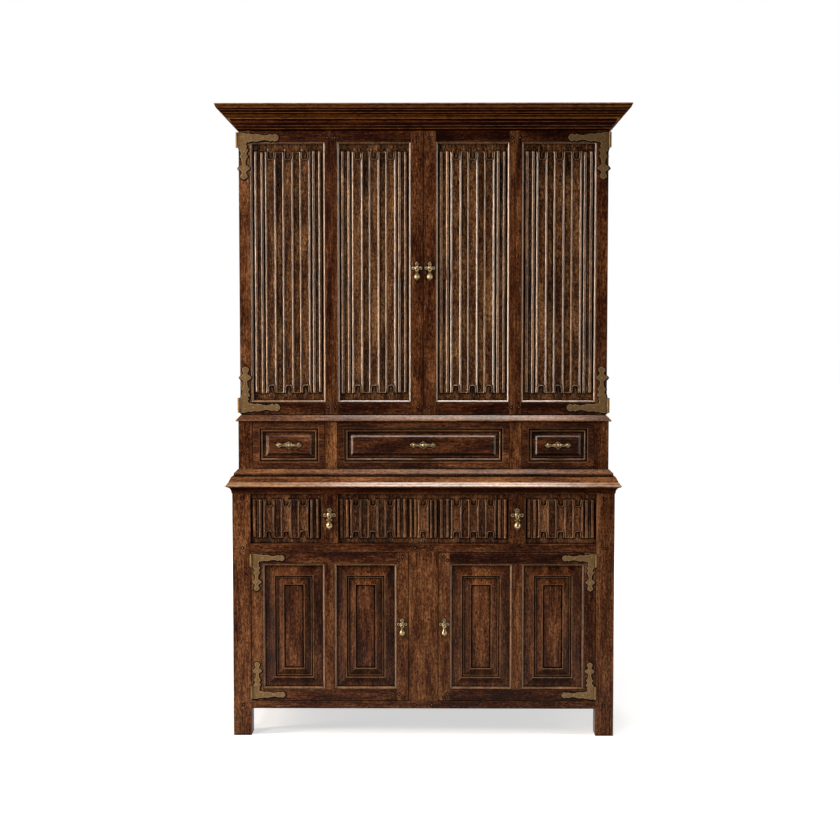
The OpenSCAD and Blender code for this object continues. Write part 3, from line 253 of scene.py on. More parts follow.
def islands_of(made):
    """The separate solids of a mesh, each as a list of vertices with its lowest and highest corner."""
    left = set(made.verts)
    while left:
        group, edge_on = [], [left.pop()]
        while edge_on:
            v = edge_on.pop()
            group.append(v)
            for e in v.link_edges:
                other = e.other_vert(v)
                if other in left:
                    left.remove(other)
                    edge_on.append(other)
        yield (group, *(Vector([pick(v.co[i] for v in group) for i in range(3)]) for pick in (min, max)))


def lay_grain(made, seed, along=None, tone_shift=0.0, across=0.0):
    """Stores, for each board, where its wood was cut from: across, through and along the grain, and how
    dark the board took the stain. Boards that lie across are made darker by the amount given: painted shade
    for how the light falls on them. Broad thin boards stand with their grain upright."""
    grain = made.verts.layers.float_vector.new("grain")
    tone = made.verts.layers.float.new("tone")
    draw = random.Random(seed)
    for group, low, high in sorted(islands_of(made), key=lambda island: tuple(
            round(c, 4) for c in min(v.co[:] for v in island[0]))):
        size = list(high - low)
        upright = size[2] > 0.3 and min(size) < 0.03
        axis = along if along is not None else 2 if upright else size.index(max(size))
        others = [i for i in range(3) if i != axis]
        shift = Vector([draw.uniform(-9, 9) for _ in range(3)])
        # A random tone, and painted shade on boards that lie across
        shade = tone_shift + draw.uniform(-0.4, 0.4) + (across if axis == 0 else 0.0)
        for v in group:
            v[grain] = Vector((v.co[others[0]], v.co[others[1]], v.co[axis])) + shift
            v[tone] = shade


def show(name, made, finish, body, nodes=(), smooth_deg=32, flats=True):
    """Makes the piece, shades it smooth up to the given angle and puts it on its body."""
    for e in made.edges:
        e.smooth = not e.is_manifold or e.calc_face_angle(0) < math.radians(smooth_deg)
    for f in made.faces:
        f.smooth = True
    data = bpy.data.meshes.new(name)
    made.to_mesh(data)
    made.free()
    data.materials.append(finish)
    piece = bpy.data.objects.new(name, data)
    scene.collection.objects.link(piece)
    if flats:
        piece.modifiers.new("flat_faces", "WEIGHTED_NORMAL").keep_sharp = True
    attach(piece, body)
    if nodes:
        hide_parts(*nodes)


def show_boards(nodes, finish, slot, round_mm, **cut):
    for node in nodes:
        made = boards_of(node, round_mm)
        lay_grain(made, node, **cut)
        show(node + "_oak", made, finish, body_of_node[node], [node])


case_oak = stained_oak("stained_waxed_oak", ("#160401", "#361708", "#563119", "#71482a", "#986944"),
                       mottle=1.4, streaks=1.0, wear_and_highlight=0.4, wax=0.08)
show_boards(["base_legs", "base_sides"], case_oak, "dark_oak", 1.2, tone_shift=0.5)
show_boards(["base_front_frame"], case_oak, "dark_oak", 1.2, tone_shift=0.5, across=-1.3)


# Inner boards of the base: floor, bed under the drawers, partition, shelves and back. They are
# plain planks, sawn and planed, oiled only thinly, so they are paler and duller than the outside.

plain_oak = stained_oak("plain_planed_oak", ("#4a3622", "#644a30", "#765a3b", "#8a6b48", "#a2835c"),
                        mottle=0.5, worn_and_highlight="#b39468", wear_and_highlight=0.3, wax=0.0, dull=0.2)
show_boards(["base_floor", "drawer_bed", "base_partition", "base_shelves", "base_back"],
            plain_oak, "inner_oak", 0.6)


# Base top. A thick board, with a long slope and a rounded nose run along three sides, lies on a mitred
# under-moulding. Both are stained oak: hands and cloths have rubbed the nose light, and its paler finish is
# partly a painted highlight, while the moulding in its shadow takes a darker finish, soot and painted
# shade.

def keep_islands(made, wanted):
    """Deletes the solids of a mesh whose lowest and highest corners don't pass the test."""
    for group, low, high in list(islands_of(made)):
        if not wanted(low, high):
            bmesh.ops.delete(made, geom=group, context="VERTS")


def ring_of(made, points, wear_and_painted_light):
    """A ring of new vertices at the given points, all with one share of painted light: above nought they
    are painted paler, as abrasion and highlight, and below it darker, as soot and shade.
    """
    relief = made.verts.layers.float.get("relief") or made.verts.layers.float.new("relief")
    ring = [made.verts.new(point) for point in points]
    for v in ring:
        v[relief] = wear_and_painted_light
    return ring


def run_moulding(name, node, profile, finish, solid, tone_shift=0.0):
    """A moulding along the left side, front and right side of a box, mitred at the front corners. Each stop
    of the profile is the distance out, the height below the box's top, in millimetres, and the share of
    painted light: paler for abrasion and highlight, darker for soot and shade. A solid one fills the box,
    and another is a strip with a back of its own."""
    low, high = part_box(node)
    widest = max(out for out, _, _ in profile)
    made = bmesh.new()
    rings = []
    for out, drop, wear_and_painted_light in profile:
        x, y, z = high.x + (out - widest) * MM, low.y - (out - widest) * MM, high.z + drop * MM
        rings.append(ring_of(made, ((-x, high.y, z), (-x, y, z), (x, y, z), (x, high.y, z)), wear_and_painted_light))
    for upper, lower in zip(rings, rings[1:] + ([] if solid else rings[:1])):
        for k in range(3):
            made.faces.new((upper[k], lower[k], lower[k + 1], upper[k + 1]))
    left, right = [ring[0] for ring in rings], [ring[3] for ring in reversed(rings)]
    for corners in ((rings[0][::-1], rings[-1], left + right) if solid else (left, right)):
        made.faces.new(corners)
    bmesh.ops.recalc_face_normals(made, faces=made.faces)
    lay_grain(made, node, along=0, tone_shift=tone_shift)
    show(name, made, finish, "carcass", [node], smooth_deg=24)


# The first is a paler copy of the finish with a soft shine, wear and painted highlight, and the second a
# darker copy, soot and painted shade, that hides most of the grain.
pale_lit_edge_oak = stained_oak("rubbed_and_lit_moulded_oak", ("#241008", "#4c2912", "#6f4222", "#8d5c34", "#b07e4e"),
                       mottle=1.2, worn_and_highlight="#e2bc96", wear_and_highlight=0.7, wax=0.42, polish=0.16, lumps=0.22)
dark_shaded_oak = stained_oak("dark_shaded_moulded_oak", ("#140302", "#240a04", "#371608", "#4e2510", "#7c4424"),
                        mottle=1.3, worn_and_highlight="#c8843f", wear_and_highlight=0.9, wax=0.0, painted_shade_below=0.6, rub_and_highlight_mm=3.4,
                        shine=0.04)

NOSE = [
    (-1, 0, -0.7), (2, -1.6, -0.7), (3.2, -2.4, -0.4), (4, -3.8, 0), (8, -12.2, 0), (11.6, -20, 0),
    (12.2, -20.8, 0.3), (16, -25.2, 0.4), (16.2, -26.6, -0.4), (16.9, -27.2, 0.3), (21.2, -32.2, 0.4),
    (23, -33.6, 0.3), (24, -34.6, 0.3), (23.6, -35.5, 0.2), (21, -36, -0.2)]
run_moulding("base_top_board", "base_top", NOSE, pale_lit_edge_oak, solid=True, tone_shift=0.2)
made = boards_of("base_top", 0.5)
top_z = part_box("base_top")[1].z
keep_islands(made, lambda low, high: high.z < top_z - 30 * MM)
lay_grain(made, "under_moulding")
show("base_top_moulding", made, dark_shaded_oak, "carcass")


# Base doors. Each is a pegged frame with a muntin, mitred beads round its two openings, and two
# panels raised twice towards a sunken field. The steps are run with moulding planes along all four
# sides, so they meet in mitres.

def wander(along, seed, reach):
    """A slow drift of a hand-held tool along its cut, within about the given reach."""
    draw = random.Random(seed)
    total = np.zeros_like(along)
    for wave_mm in (310, 140, 61, 27):
        total += np.sin(along * 2 * math.pi / wave_mm + draw.uniform(0, 6.3)) * wave_mm ** 0.35
    return reach * total / 12.0


def join_rings(made, rings):
    """Faces between each ring of points and the next, all the way round. A ring may be one point."""
    fresh = []
    for first, second in zip(rings, rings[1:]):
        count = max(len(first), len(second))
        for k in range(count):
            n = (k + 1) % count
            corners = (first[k % len(first)], first[n % len(first)], second[n % len(second)],
                       second[k % len(second)])
            fresh.append(made.faces.new(list(dict.fromkeys(corners))))
    return fresh


def close_back(made, rim, back_y):
    """Gives a carved front its square edges and its flat back."""
    back = [made.verts.new((v.co.x, back_y, v.co.z)) for v in rim]
    join_rings(made, [back, rim])
    made.faces.new(back[::-1])
    bmesh.ops.recalc_face_normals(made, faces=made.faces)


def mitred_front(name, low, high, profile, finish, body, nodes, along, tone_shift=0.0):
    """A rectangular piece with mouldings that run round it, between two corners of its box. The
    profile lists distances in from the edge with heights over the face, in millimetres."""
    inset, height = np.array(profile).T
    fine = np.arange(0, inset[-1], 0.25)
    surface = np.pad(np.interp(fine, inset, height), 12, "edge")
    blurred = np.convolve(surface, np.ones(25) / 25, "valid")
    # Crests of the steps get a positive relief and their hollows a negative one: the finish paints them
    # paler, as wear and highlight, and darker, as soot and shade
    relief = np.interp(inset, fine, surface[12:-12] - blurred) / 2.0
    half_x, half_z = ((high[i] - low[i]) / 2 / MM for i in (0, 2))
    steps = [max(4, int(half / 7)) for half in (half_x, half_z)]
    made = bmesh.new()
    rings = []
    for i in range(len(inset)):
        points = []
        for side in range(4):
            run, rise = (half_x, half_z) if side % 2 == 0 else (half_z, half_x)
            t = np.arange(steps[side % 2]) / steps[side % 2]
            free = np.sin(t * math.pi) ** 0.5 * (inset[i] > 3)
            drift = wander(t * 2 * run, name + str(side), 0.22) * free
            swell = wander(t * 2 * run, name + str(side) + "depth", 0.15) * free
            u = (2 * t - 1) * (run - inset[i])
            w = -(rise - inset[i]) + drift
            turn = side * math.pi / 2
            xs = (low.x + high.x) / 2 + (u * math.cos(turn) - w * math.sin(turn)) * MM
            zs = (low.z + high.z) / 2 + (u * math.sin(turn) + w * math.cos(turn)) * MM
            points += zip(xs, low.y - (height[i] - np.abs(swell)) * MM, zs)
        rings.append(ring_of(made, points, relief[i]))
    join_rings(made, rings)
    made.faces.new(rings[-1])
    close_back(made, rings[0], high.y)
    lay_grain(made, name, along, tone_shift)
    show(name, made, finish, body, nodes, smooth_deg=21, flats=False)


# Distance in from the outer edge of a bead, and depth below the front of its frame
BEAD = [(0, 1.7), (1.7, 0.4), (2.3, 0.2), (2.9, 0.4), (4.4, 1.5), (5.9, 2.7), (7.4, 4), (8, 7)]


def bead_round(made, low, high):
    """One slim bead round an opening, mitred at its four corners."""
    rings = []
    for inset, depth in BEAD + [(inset, (high.y - low.y) / MM) for inset in (8.0, 0)]:
        x0, x1 = low.x + inset * MM, high.x - inset * MM
        z0, z1 = low.z + inset * MM, high.z - inset * MM
        y = low.y + depth * MM
        # The bead's back gets a share of paler colour: wear and painted highlight
        rings.append(ring_of(made, ((x0, y, z0), (x1, y, z0), (x1, y, z1), (x0, y, z1)),
                             0.22 if 0.3 < inset < 7.5 else 0.0))
    join_rings(made, rings + rings[:1])
    bmesh.ops.recalc_face_normals(made, faces=made.faces)


def show_frames(nodes, **cut):
    """Door frames as boards, with the slim beads round their openings as pieces of their own."""
    slim, tall = 14 * MM, 100 * MM
    for node in nodes:
        made = boards_of(node, 0.7)
        uprights = [(low, high) for _, low, high in islands_of(made)
                    if min(high - low) < slim and high.z - low.z > tall]
        uprights.sort(key=lambda pair: pair[0].x)
        keep_islands(made, lambda low, high: min(high - low) > slim)
        lay_grain(made, node, **cut)
        show(node + "_oak", made, case_oak, body_of_node[node], [node])
        made = bmesh.new()
        for (low, _), (_, high) in zip(uprights[::2], uprights[1::2]):
            bead_round(made, low, high)
        lay_grain(made, node + "_beads", 2)
        show(node + "_beads", made, bead_oak, body_of_node[node], smooth_deg=20)


# The beads show a pale line along their backs, wear and painted highlight, and the carved panels keep their
# dark corners, painted shade as well as soot.
bead_oak = stained_oak("rubbed_and_lit_beads", ("#160602", "#381b0b", "#57341b", "#76502f", "#a07248"),
                       mottle=1.0, worn_and_highlight="#cfa880", wear_and_highlight=0.6, wax=0.62, polish=0.2, lumps=0.3, soot_and_shade_mm=6,
                       rub_and_highlight_mm=3.0)
show_frames(["left_base_door_frame", "right_base_door_frame"], tone_shift=0.4, across=-1.6)
CARVED_SHADES = ("#160401", "#361808", "#573118", "#734729", "#9e6d46")
carved_oak = stained_oak("carved_waxed_oak", CARVED_SHADES, mottle=1.3, wear_and_highlight=0.3, wax=0.15, soot_and_shade_mm=8)
BASE_STEPS = [
    (0, -11.2), (3, -11.2), (8, -10.9), (10.5, -10.4), (15, -9.2), (20, -7.4), (25, -5.3), (29, -3.4),
    (32, -2.1), (33.6, -1.5), (35, -1.3), (36, -1.6), (36.8, -2.6), (37.1, -7.4), (37.8, -8.2),
    (40.2, -8.2), (40.8, -6.8), (41.5, -5.9), (42.6, -5.6), (43.7, -6), (44.5, -7.1), (45.1, -8.4),
    (47.6, -8.4), (48.6, -8), (53, -6.3), (58, -4.3), (63, -2.3), (65.6, -1.4), (67.2, -1.2), (68.4, -1.5),
    (69, -2.4), (69.4, -6.6), (70.2, -7.4), (72.8, -7.4), (73.5, -6.4), (75.2, -5.9), (77.5, -5.9),
    (80.5, -5.9)]
BASE_FACE = -277.5 * MM
HALF_MUNTIN = 24.9 * MM
for side in ("left", "right"):
    node = side + "_base_door_panels"
    low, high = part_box(node)
    middle = (low.x + high.x) / 2
    for part, x0, x1 in (("a", low.x, middle - HALF_MUNTIN), ("b", middle + HALF_MUNTIN, high.x)):
        mitred_front(node + "_" + part, Vector((x0, BASE_FACE, low.z)), Vector((x1, high.y, high.z)),
                     BASE_STEPS, carved_oak, side + "_base_door", [node] if part == "a" else (), along=2)


# Drawer boxes. Their sides, backs and bottoms are plain planks of unstained oak, and they run on
# strips of the same wood.

show_boards(["left_frieze_box", "right_frieze_box", "left_row_box", "centre_row_box", "right_row_box",
             "drawer_row_runners"], plain_oak, "inner_oak", 0.6)


# Upper carcass. Pegged sides and the front of the drawer row are of the stained oak, and the deck,
# top, bottom and back are plain boards that only show when the doors are open.

show_boards(["upper_sides"], case_oak, "dark_oak", 1.0)
show_boards(["drawer_row_frame"], case_oak, "dark_oak", 1.0, tone_shift=0.2)
show_boards(["upper_top_board", "tv_deck", "upper_bottom_board", "upper_back"], plain_oak, "inner_oak",
            0.6)


# Mouldings of the upper part: foot moulding, waist moulding and cornice, run with planes in long lengths,
# mitred at the front corners, stained and rubbed along their edges, and the pale edges are partly painted
# highlight.

# A soft shine, and pale edges where dusters have rubbed, partly painted highlight
waist_oak = stained_oak("rubbed_and_lit_waist_oak", ("#1c0a04", "#3f210d", "#5f381c", "#7d502e", "#a3744b"),
                        mottle=1.2, worn_and_highlight="#d8b08a", wear_and_highlight=0.7, wax=0.2, polish=0.18, lumps=0.22)
show_boards(["waist_mouldings"], waist_oak, "dark_oak", 0.4)

CORNICE = [
    (-50, 0, 0), (74, 0, 0.1), (75, -1, 0.4), (75, -4.4, 0.2), (74, -5.4, -0.3), (73.2, -7, -0.4),
    (73, -8.2, 0.15), (72.6, -9.6, 0.25), (69.4, -15.6, 0.25), (67.4, -17.4, 0), (64.6, -20.4, -0.1),
    (63.4, -21.4, 0.42), (61.6, -23, 0), (55.2, -29.2, 0), (53.8, -30.4, 0.45), (52, -31.8, -0.1),
    (48.2, -36.6, -0.1), (47, -38, 0.42), (45.6, -39.6, -0.1), (42.4, -43.4, 0), (37.4, -45.8, 0.2),
    (31.6, -46.9, 0.5), (27.2, -47.5, 0.4), (26.3, -48.8, -0.5), (26, -51.4, -0.5), (25.4, -55, -0.1),
    (24.4, -58.6, 0.3), (22.8, -60.8, 0), (17, -69.4, 0), (16, -70.6, 0.4), (14.8, -72.2, -0.1),
    (10.8, -77.6, 0), (9.6, -78.8, 0.35), (8.2, -80.2, -0.2), (1, -82.4, -0.5), (0.2, -82.9, -0.6),
    (-50, -82.9, 0)]
# The cornice takes the darker copy: painted shade on its faces that look down, with pale lines along its
# arrises that are partly painted highlight
run_moulding("cornice_moulding", "cornice", CORNICE, dark_shaded_oak, solid=False)
made = boards_of("cornice", 0.5)
rear_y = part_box("cornice")[1].y - 60 * MM
keep_islands(made, lambda low, high: low.y > rear_y)
lay_grain(made, "cornice_back")
show("cornice_back_rail", made, plain_oak, "carcass")


# Fronts of the row drawers. Each is one board with a flat margin, a deep groove, a bead and a
# raised field that is bevelled on all four sides.

# Black grooves, painted shade from a wide reach of darkening, with a soft shine on the bevels
row_oak = stained_oak("carved_drawer_oak", CARVED_SHADES, mottle=1.2, wear_and_highlight=0.2, wax=0.4, polish=0.24,
                      lumps=0.3, soot_and_shade_mm=12)
ROW_STEPS = [
    (0, -1.1), (0.5, -0.4), (1.4, 0), (3.6, 0), (5, 0), (18, 0), (20, 0), (21.6, -0.1), (22.6, -0.5),
    (23.4, -1.4), (23.9, -3), (24.2, -8.6), (24.8, -9.2), (26.8, -9.2), (27.4, -8.2), (27.8, -5),
    (28.6, -3.4), (30, -2.2), (31.6, -1.8), (33.2, -2.2), (34.4, -3.2), (35.4, -5.2), (36.2, -7.6),
    (37.6, -8.9), (40.6, -8.9), (43.4, -8.7), (44.6, -8.3), (47.2, -6.8), (49.6, -5), (52, -3), (54, -1.3),
    (55.2, -0.7), (56.6, -0.5), (58.2, -0.45), (61, -0.5), (63, -0.5)]
for place in ("left", "centre", "right"):
    node = place + "_row_front"
    mitred_front(node + "_carved", *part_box(node), ROW_STEPS, row_oak, place + "_row_drawer", [node],
                 along=0, tone_shift=-0.4)


# Television doors. They are four frames of stained oak, pegged at the corners, with a rounded bead
# mitred round each opening.

LEAF_FACE = -247.5 * MM
LEAVES = [side + "_" + leaf + "_leaf" for side in ("left", "right") for leaf in ("outer", "inner")]
show_frames([leaf + "_frame" for leaf in LEAVES], tone_shift=-0.4, across=-1.0)


# Linenfold panels. Each is carved from one board to look like cloth in upright folds: two rolls at
# each side, and bands between them whose hems turn round a notch at each end, with a tongue of
# cloth showing in the notch. The carver's knife leaves the lines a little uneven.

# Heights and widths of the folds, in millimetres
FOLD_H, BAND_W, LIP_R, LIP_RISE, RECESS_H = 10.0, 40.0, 3.8, 2.8, 3.0
NOTCH_HALF, NOTCH_ROUND = 10.0, 8.0


def smooth(value, low, high):
    t = np.clip((value - low) / (high - low), 0, 1)
    return t * t * (3 - 2 * t)


def hump(value, middle, half, height, power=2.0):
    """Height of a rounded ridge: the higher the power, the broader its back."""
    t = np.clip(np.abs(value - middle) / half, 0, 1)
    return height * (1 - t ** power)


def roll(value, middle, half, height, slope, turn):
    """Height of a roll of cloth: two flanks that turn down from the ridge, over steep sides."""
    aside = np.abs(value - middle)
    crown = height - slope * aside - turn * aside ** 2
    return np.maximum(crown * (1 - smooth(aside, 0.66 * half, half)), 0)


def band_centres(spec):
    reach = spec["width"] / 2 - spec["rolls"] - BAND_W / 2
    return [0.0] if spec["bands"] == 1 else list(np.linspace(-reach, reach, spec["bands"]))


def fold_height(x, z, spec):
    """Height of the carving above its ground, in millimetres, at points of the panel's face."""
    zone = spec["rolls"]
    inward = spec["fold_end"] - np.abs(z)
    out = np.abs(x) - (spec["width"] / 2 - zone)

    def rounded_end(lag, run):
        t = np.clip((inward - lag) / run, 0, 1)
        return np.sqrt(1 - (1 - t) ** 2)

    corner = np.where(x < 0, 0, 2) + np.where(z < 0, 4, 0)
    lags = spec["lags"]
    step = 2.2 * (1 - smooth(out, 0.88 * zone, 0.95 * zone)) * rounded_end(0, 3)
    first = roll(out, 0.25 * zone, 0.17 * zone, FOLD_H, 0.2, 0.10) * rounded_end(lags[corner], 5)
    second = roll(out, 0.74 * zone, 0.16 * zone, FOLD_H - 0.8, 0.45, 0.03)
    rolls = np.maximum(np.maximum(first, second * rounded_end(lags[corner + 1], 5)), step)
    between = RECESS_H * smooth(inward, 0.0, 0.9) + hump(inward, 1.9, 1.9, 1.4)
    height = np.where(out > 0, rolls, between - 0.9 * smooth(inward, 4, 12))

    # Each notch is a slot with a round bottom, and away is the distance out of it
    for centre in band_centres(spec):
        flare = 2.4 * (1 - smooth(inward, 0.0, 8.0))
        side = np.abs(x - centre)
        t = side - flare
        ridge = BAND_W / 2 - LIP_R
        lip = FOLD_H - LIP_RISE + hump(t, ridge, LIP_R, LIP_RISE, 1.2)
        flat = FOLD_H - LIP_RISE - 0.3 - 0.7 * (1 - np.clip(t / ridge, 0, 1) ** 2)
        band = np.where(t > ridge - LIP_R, lip, flat)
        qx = side - NOTCH_HALF - 0.25 * flare + NOTCH_ROUND
        qz = inward - spec["notch"] + NOTCH_ROUND
        away = (np.hypot(np.maximum(qx, 0), np.maximum(qz, 0)) + np.minimum(np.maximum(qx, qz), 0)
                - NOTCH_ROUND)
        rim = FOLD_H - 2.4 + hump(away, 1.8, 2.0, 2.2, 1.8)
        band = np.where((away < 3.8) & (inward < spec["notch"] + 4), np.maximum(band, rim), band)
        groove = hump(away, 5.4, 1.7, 1.6) * (inward < spec["notch"] + 2)
        band = (band - np.where(t < ridge - 1.0, groove, 0)) * rounded_end(-0.5, 3.5)
        tongue_half = 4.6 + 8.5 * (1 - smooth(inward, -3.0, 13.0))
        tongue = 3.4 * np.sqrt(np.clip(1 - (side / tongue_half) ** 2, 0, 1))
        tongue = np.minimum(tongue, 2.4) * smooth(inward, -18.0, 6.0)
        band = np.where(away < 0, np.maximum(0.4 * smooth(inward, -1, 1), tongue), band)
        height = np.where((side < BAND_W / 2 + flare) & (inward > 0), band, height)
        height = np.where((inward <= 0) & (side < tongue_half), np.maximum(height, tongue), height)
    return height


def fold_columns(spec):
    """Where the mesh is cut across the panel, in millimetres: closest at the hems and rolls."""
    half = spec["width"] / 2
    x, cuts = -half, []
    while x < half - 0.4:
        cuts.append(x)
        nearest = min(abs(x - c) for c in band_centres(spec))
        if abs(nearest - BAND_W / 2 + LIP_R) < 4.2:
            x += 0.7
        elif abs(x) > half - spec["rolls"]:
            x += 0.9
        else:
            x += 1.15 if nearest < 14 else 2.2
    return np.array(cuts + [half])


def linenfold(name, low, high, bands, rolls, ground, finish, body, nodes=(), notch=27, tone_shift=0.0):
    """Carves one panel between two corners of its box: so many bands, with rolls of cloth this wide
    at each side, and this much bare ground above and below, in millimetres."""
    width, height = (high.x - low.x) / MM, (high.z - low.z) / MM
    draw = random.Random(name)
    spec = {"width": width, "bands": bands, "rolls": rolls, "fold_end": height / 2 - ground,
            "notch": notch, "lags": np.array([draw.uniform(-3.0, 2.0) for _ in range(8)])}
    x = fold_columns(spec)
    end = min(height / 2, ground + notch + 12)
    inner = height / 2 - end
    ends = np.linspace(inner, height / 2, int(end / 1.1))
    middle = np.linspace(-inner, inner, max(2, int(2 * inner / 9)) + 1)[1:-1]
    z = np.concatenate([-ends[::-1], middle, ends])
    gx, gz = np.meshgrid(x, z)
    h = fold_height(gx, gz, spec)
    around = sum(fold_height(gx + dx, gz + dz, spec) for dx, dz in
                 ((2.6, 0), (-2.6, 0), (0, 2.6), (0, -2.6), (2.6, 2.6), (-2.6, 2.6), (2.6, -2.6),
                  (-2.6, -2.6))) / 8
    # Crests get a positive relief, painted paler as wear and highlight, and hollows a negative one, painted
    # darker as soot and shade. The fold ends are darkened a little more: soot and painted shade
    relief = np.clip((h - around) / 2.4, -1, 1)
    soot_and_shade_end = 1 - smooth(spec["fold_end"] - np.abs(gz), -3, 4)
    relief = np.clip(relief, -0.55, 1) - 0.12 * soot_and_shade_end
    h = np.clip(h + wander(gz + 31, name + "_depth", 0.25) * smooth(h, 1, 4), 0, FOLD_H)
    inside = np.clip((width / 2 - np.abs(gx)) / 8, 0, 1) * np.clip((height / 2 - np.abs(gz)) / 8, 0, 1)
    gx = gx + wander(gz, name, 0.28) * inside
    gz = gz + wander(gx, name + "_ends", 0.4) * inside
    rows, columns = gx.shape
    points = np.stack([(low.x + high.x) / 2 + gx * MM, low.y + (FOLD_H - h) * MM,
                       (low.z + high.z) / 2 + gz * MM], axis=-1).reshape(-1, 3)
    made = bmesh.new()
    relief_layer = made.verts.layers.float.new("relief")
    grid = [made.verts.new(point) for point in points]
    for v, r in zip(grid, relief.reshape(-1)):
        v[relief_layer] = r
    for j in range(rows - 1):
        for i in range(columns - 1):
            a = j * columns + i
            made.faces.new((grid[a], grid[a + 1], grid[a + columns + 1], grid[a + columns]))
    rim = (grid[:columns] + [grid[j * columns - 1] for j in range(2, rows)]
           + grid[:-columns - 1:-1] + [grid[j * columns] for j in range(rows - 2, 0, -1)])
    close_back(made, rim, high.y)
    lay_grain(made, name, 2, tone_shift)
    show(name, made, finish, body, nodes, smooth_deg=62, flats=False)


# So well waxed that the flank of each fold shows a narrow bright line
fold_oak = stained_oak("linenfold_waxed_oak", ("#150501", "#371b09", "#5b391d", "#7a5230", "#a27a50"),
                       mottle=2.0, worn_and_highlight="#cfa880", wear_and_highlight=0.25, wax=0.88, polish=0.22, lumps=0.4)
for leaf in LEAVES:
    node = leaf + "_panel"
    linenfold(node + "_carved", *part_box(node), 3, 45.0, 26.0, fold_oak, leaf, [node])


# Frieze. Each drawer front has a linenfold panel on either side of a plain stile, and a fixed
# carved block with a single band stands between the drawers.

# Less waxed than the doors, so that its lines are softer
frieze_oak = stained_oak("frieze_linenfold_oak", ("#160501", "#3a1d0a", "#5e381e", "#7c5130", "#a27450"),
                         mottle=1.7, worn_and_highlight="#c49a70", wear_and_highlight=0.15, wax=0.35, polish=0.22, lumps=0.4,
                         soot_and_shade_mm=12)
STILE_HALF, SEAM, SET_BACK = 30 * MM, 0.2 * MM, 2 * MM
for side in ("left", "right"):
    node, body = side + "_frieze_front", side + "_frieze_drawer"
    low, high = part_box(node)
    middle = (low.x + high.x) / 2
    made = boards_of(node, 0.8)
    keep_islands(made, lambda a, b: abs((a.x + b.x) / 2 - middle) < STILE_HALF)
    lay_grain(made, node, along=2)
    show(side + "_frieze_stile", made, case_oak, body, [node])
    inner, outer = middle - STILE_HALF - SEAM, middle + STILE_HALF + SEAM
    for part, x0, x1 in (("a", low.x, inner), ("b", outer, high.x)):
        linenfold(side + "_frieze_fold_" + part, Vector((x0, low.y + SET_BACK, low.z)),
                  Vector((x1, high.y, high.z)), 3, 45.0, 18.0, frieze_oak, body, notch=24,
                  tone_shift=-0.1)
low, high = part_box("frieze_block")
linenfold("frieze_block_carved", low, high, 1, (high.x - low.x) / MM / 2 - BAND_W / 2, 20.0, frieze_oak,
          "carcass", ["frieze_block"], notch=24, tone_shift=0.3)


# Barrels, leaves and pins of the hinges. They are cast and filed brass, browned with age, with the
# browning rubbed off the high places, and the pins are driven through the barrels.

def aged_brass(name, dark, middle, bright, wear_and_painted_light, rough, patina_share):
    """Cast brass under a brown patina: uneven colour and small pits, with paler high places and edges that
    are partly painted highlight. Where the patina is thick it hides the metal."""
    made = bpy.data.materials.new(name)
    tree = empty_tree(made)
    place = add(tree, "TexCoord", out="Object")
    patina, pits = (add(tree, "TexNoise", {"Vector": place, "Scale": 1 / (size_mm * MM), "Detail": detail,
                                           "Roughness": fine})
                    for size_mm, detail, fine in ((9, 5, 0.7), (1.8, 3, 0.6)))
    colour = add(tree, "ValToRGB", patina, stops=[(0.32, dark), (0.50, middle), (0.72, bright)])
    open_sky = add(tree, "AmbientOcclusion", {"Distance": 5 * MM}, out="AO", samples=6)
    darkening = add(tree, "MapRange", open_sky, 0.35, 0.85, 0.9, 0)
    colour = add(tree, "Mix", {0: darkening, 6: colour, 7: linear("#120a04")}, out=2, data_type="RGBA")
    relief = add(tree, "Attribute", out="Fac", attribute_name="relief")
    crest = add(tree, "Math", add(tree, "MapRange", relief, 0.2, 1, 0, 0.75),
                add(tree, "MapRange", pits, 0.35, 0.6, 0.4, 1), operation="MULTIPLY")
    colour = add(tree, "Mix", {0: crest, 6: colour, 7: linear(wear_and_painted_light)}, out=2, data_type="RGBA")
    bare = add(tree, "MapRange", patina, 0.35, 0.65, 1 - patina_share, 1)
    metal = add(tree, "Math", bare, crest, operation="MAXIMUM")
    roughness = add(tree, "MapRange", pits, 0.3, 0.7, rough - 0.08, rough + 0.12)
    bumped = add(tree, "Bump", {"Height": add(tree, "Math", pits, patina), "Strength": 0.35,
                                "Distance": 0.35 * MM})
    shader = add(tree, "BsdfPrincipled", {"Base Color": colour, "Metallic": metal, "Roughness": roughness,
                                          "Normal": bumped})
    add(tree, "OutputMaterial", shader, out=None)
    return made


# Dull brown, and bright only along the edges, partly as painted highlight
strap_brass = aged_brass("browned_cast_brass", "#5a432a", "#7c603c", "#987a50", "#e8cea4", 0.50, 0.6)
for node in ("fixed_hinge_leaves", "hinge_pins"):
    show(node + "_brass", boards_of(node, 0.25), strap_brass, "carcass", [node])


def keep_beyond(made, x):
    """Keeps what lies farther out than the given distance from the middle, closed where it is cut."""
    side = 1 if x > 0 else -1
    cut = bmesh.ops.bisect_plane(made, geom=made.verts[:] + made.edges[:] + made.faces[:],
                                 plane_co=(x, 0, 0), plane_no=(-side, 0, 0), clear_outer=True)
    edges = [e for e in cut["geom_cut"] if isinstance(e, bmesh.types.BMEdge)]
    bmesh.ops.holes_fill(made, edges=edges)


# L-shaped strap hinges. Each is sawn and filed from thick brass sheet with scalloped edges, a long arm
# along the rail and a short one down the stile that ends in a leaf and a bud. Six nails hold it, and a
# black sheet round it on the wood, set lower and to the right, is a painted shadow.

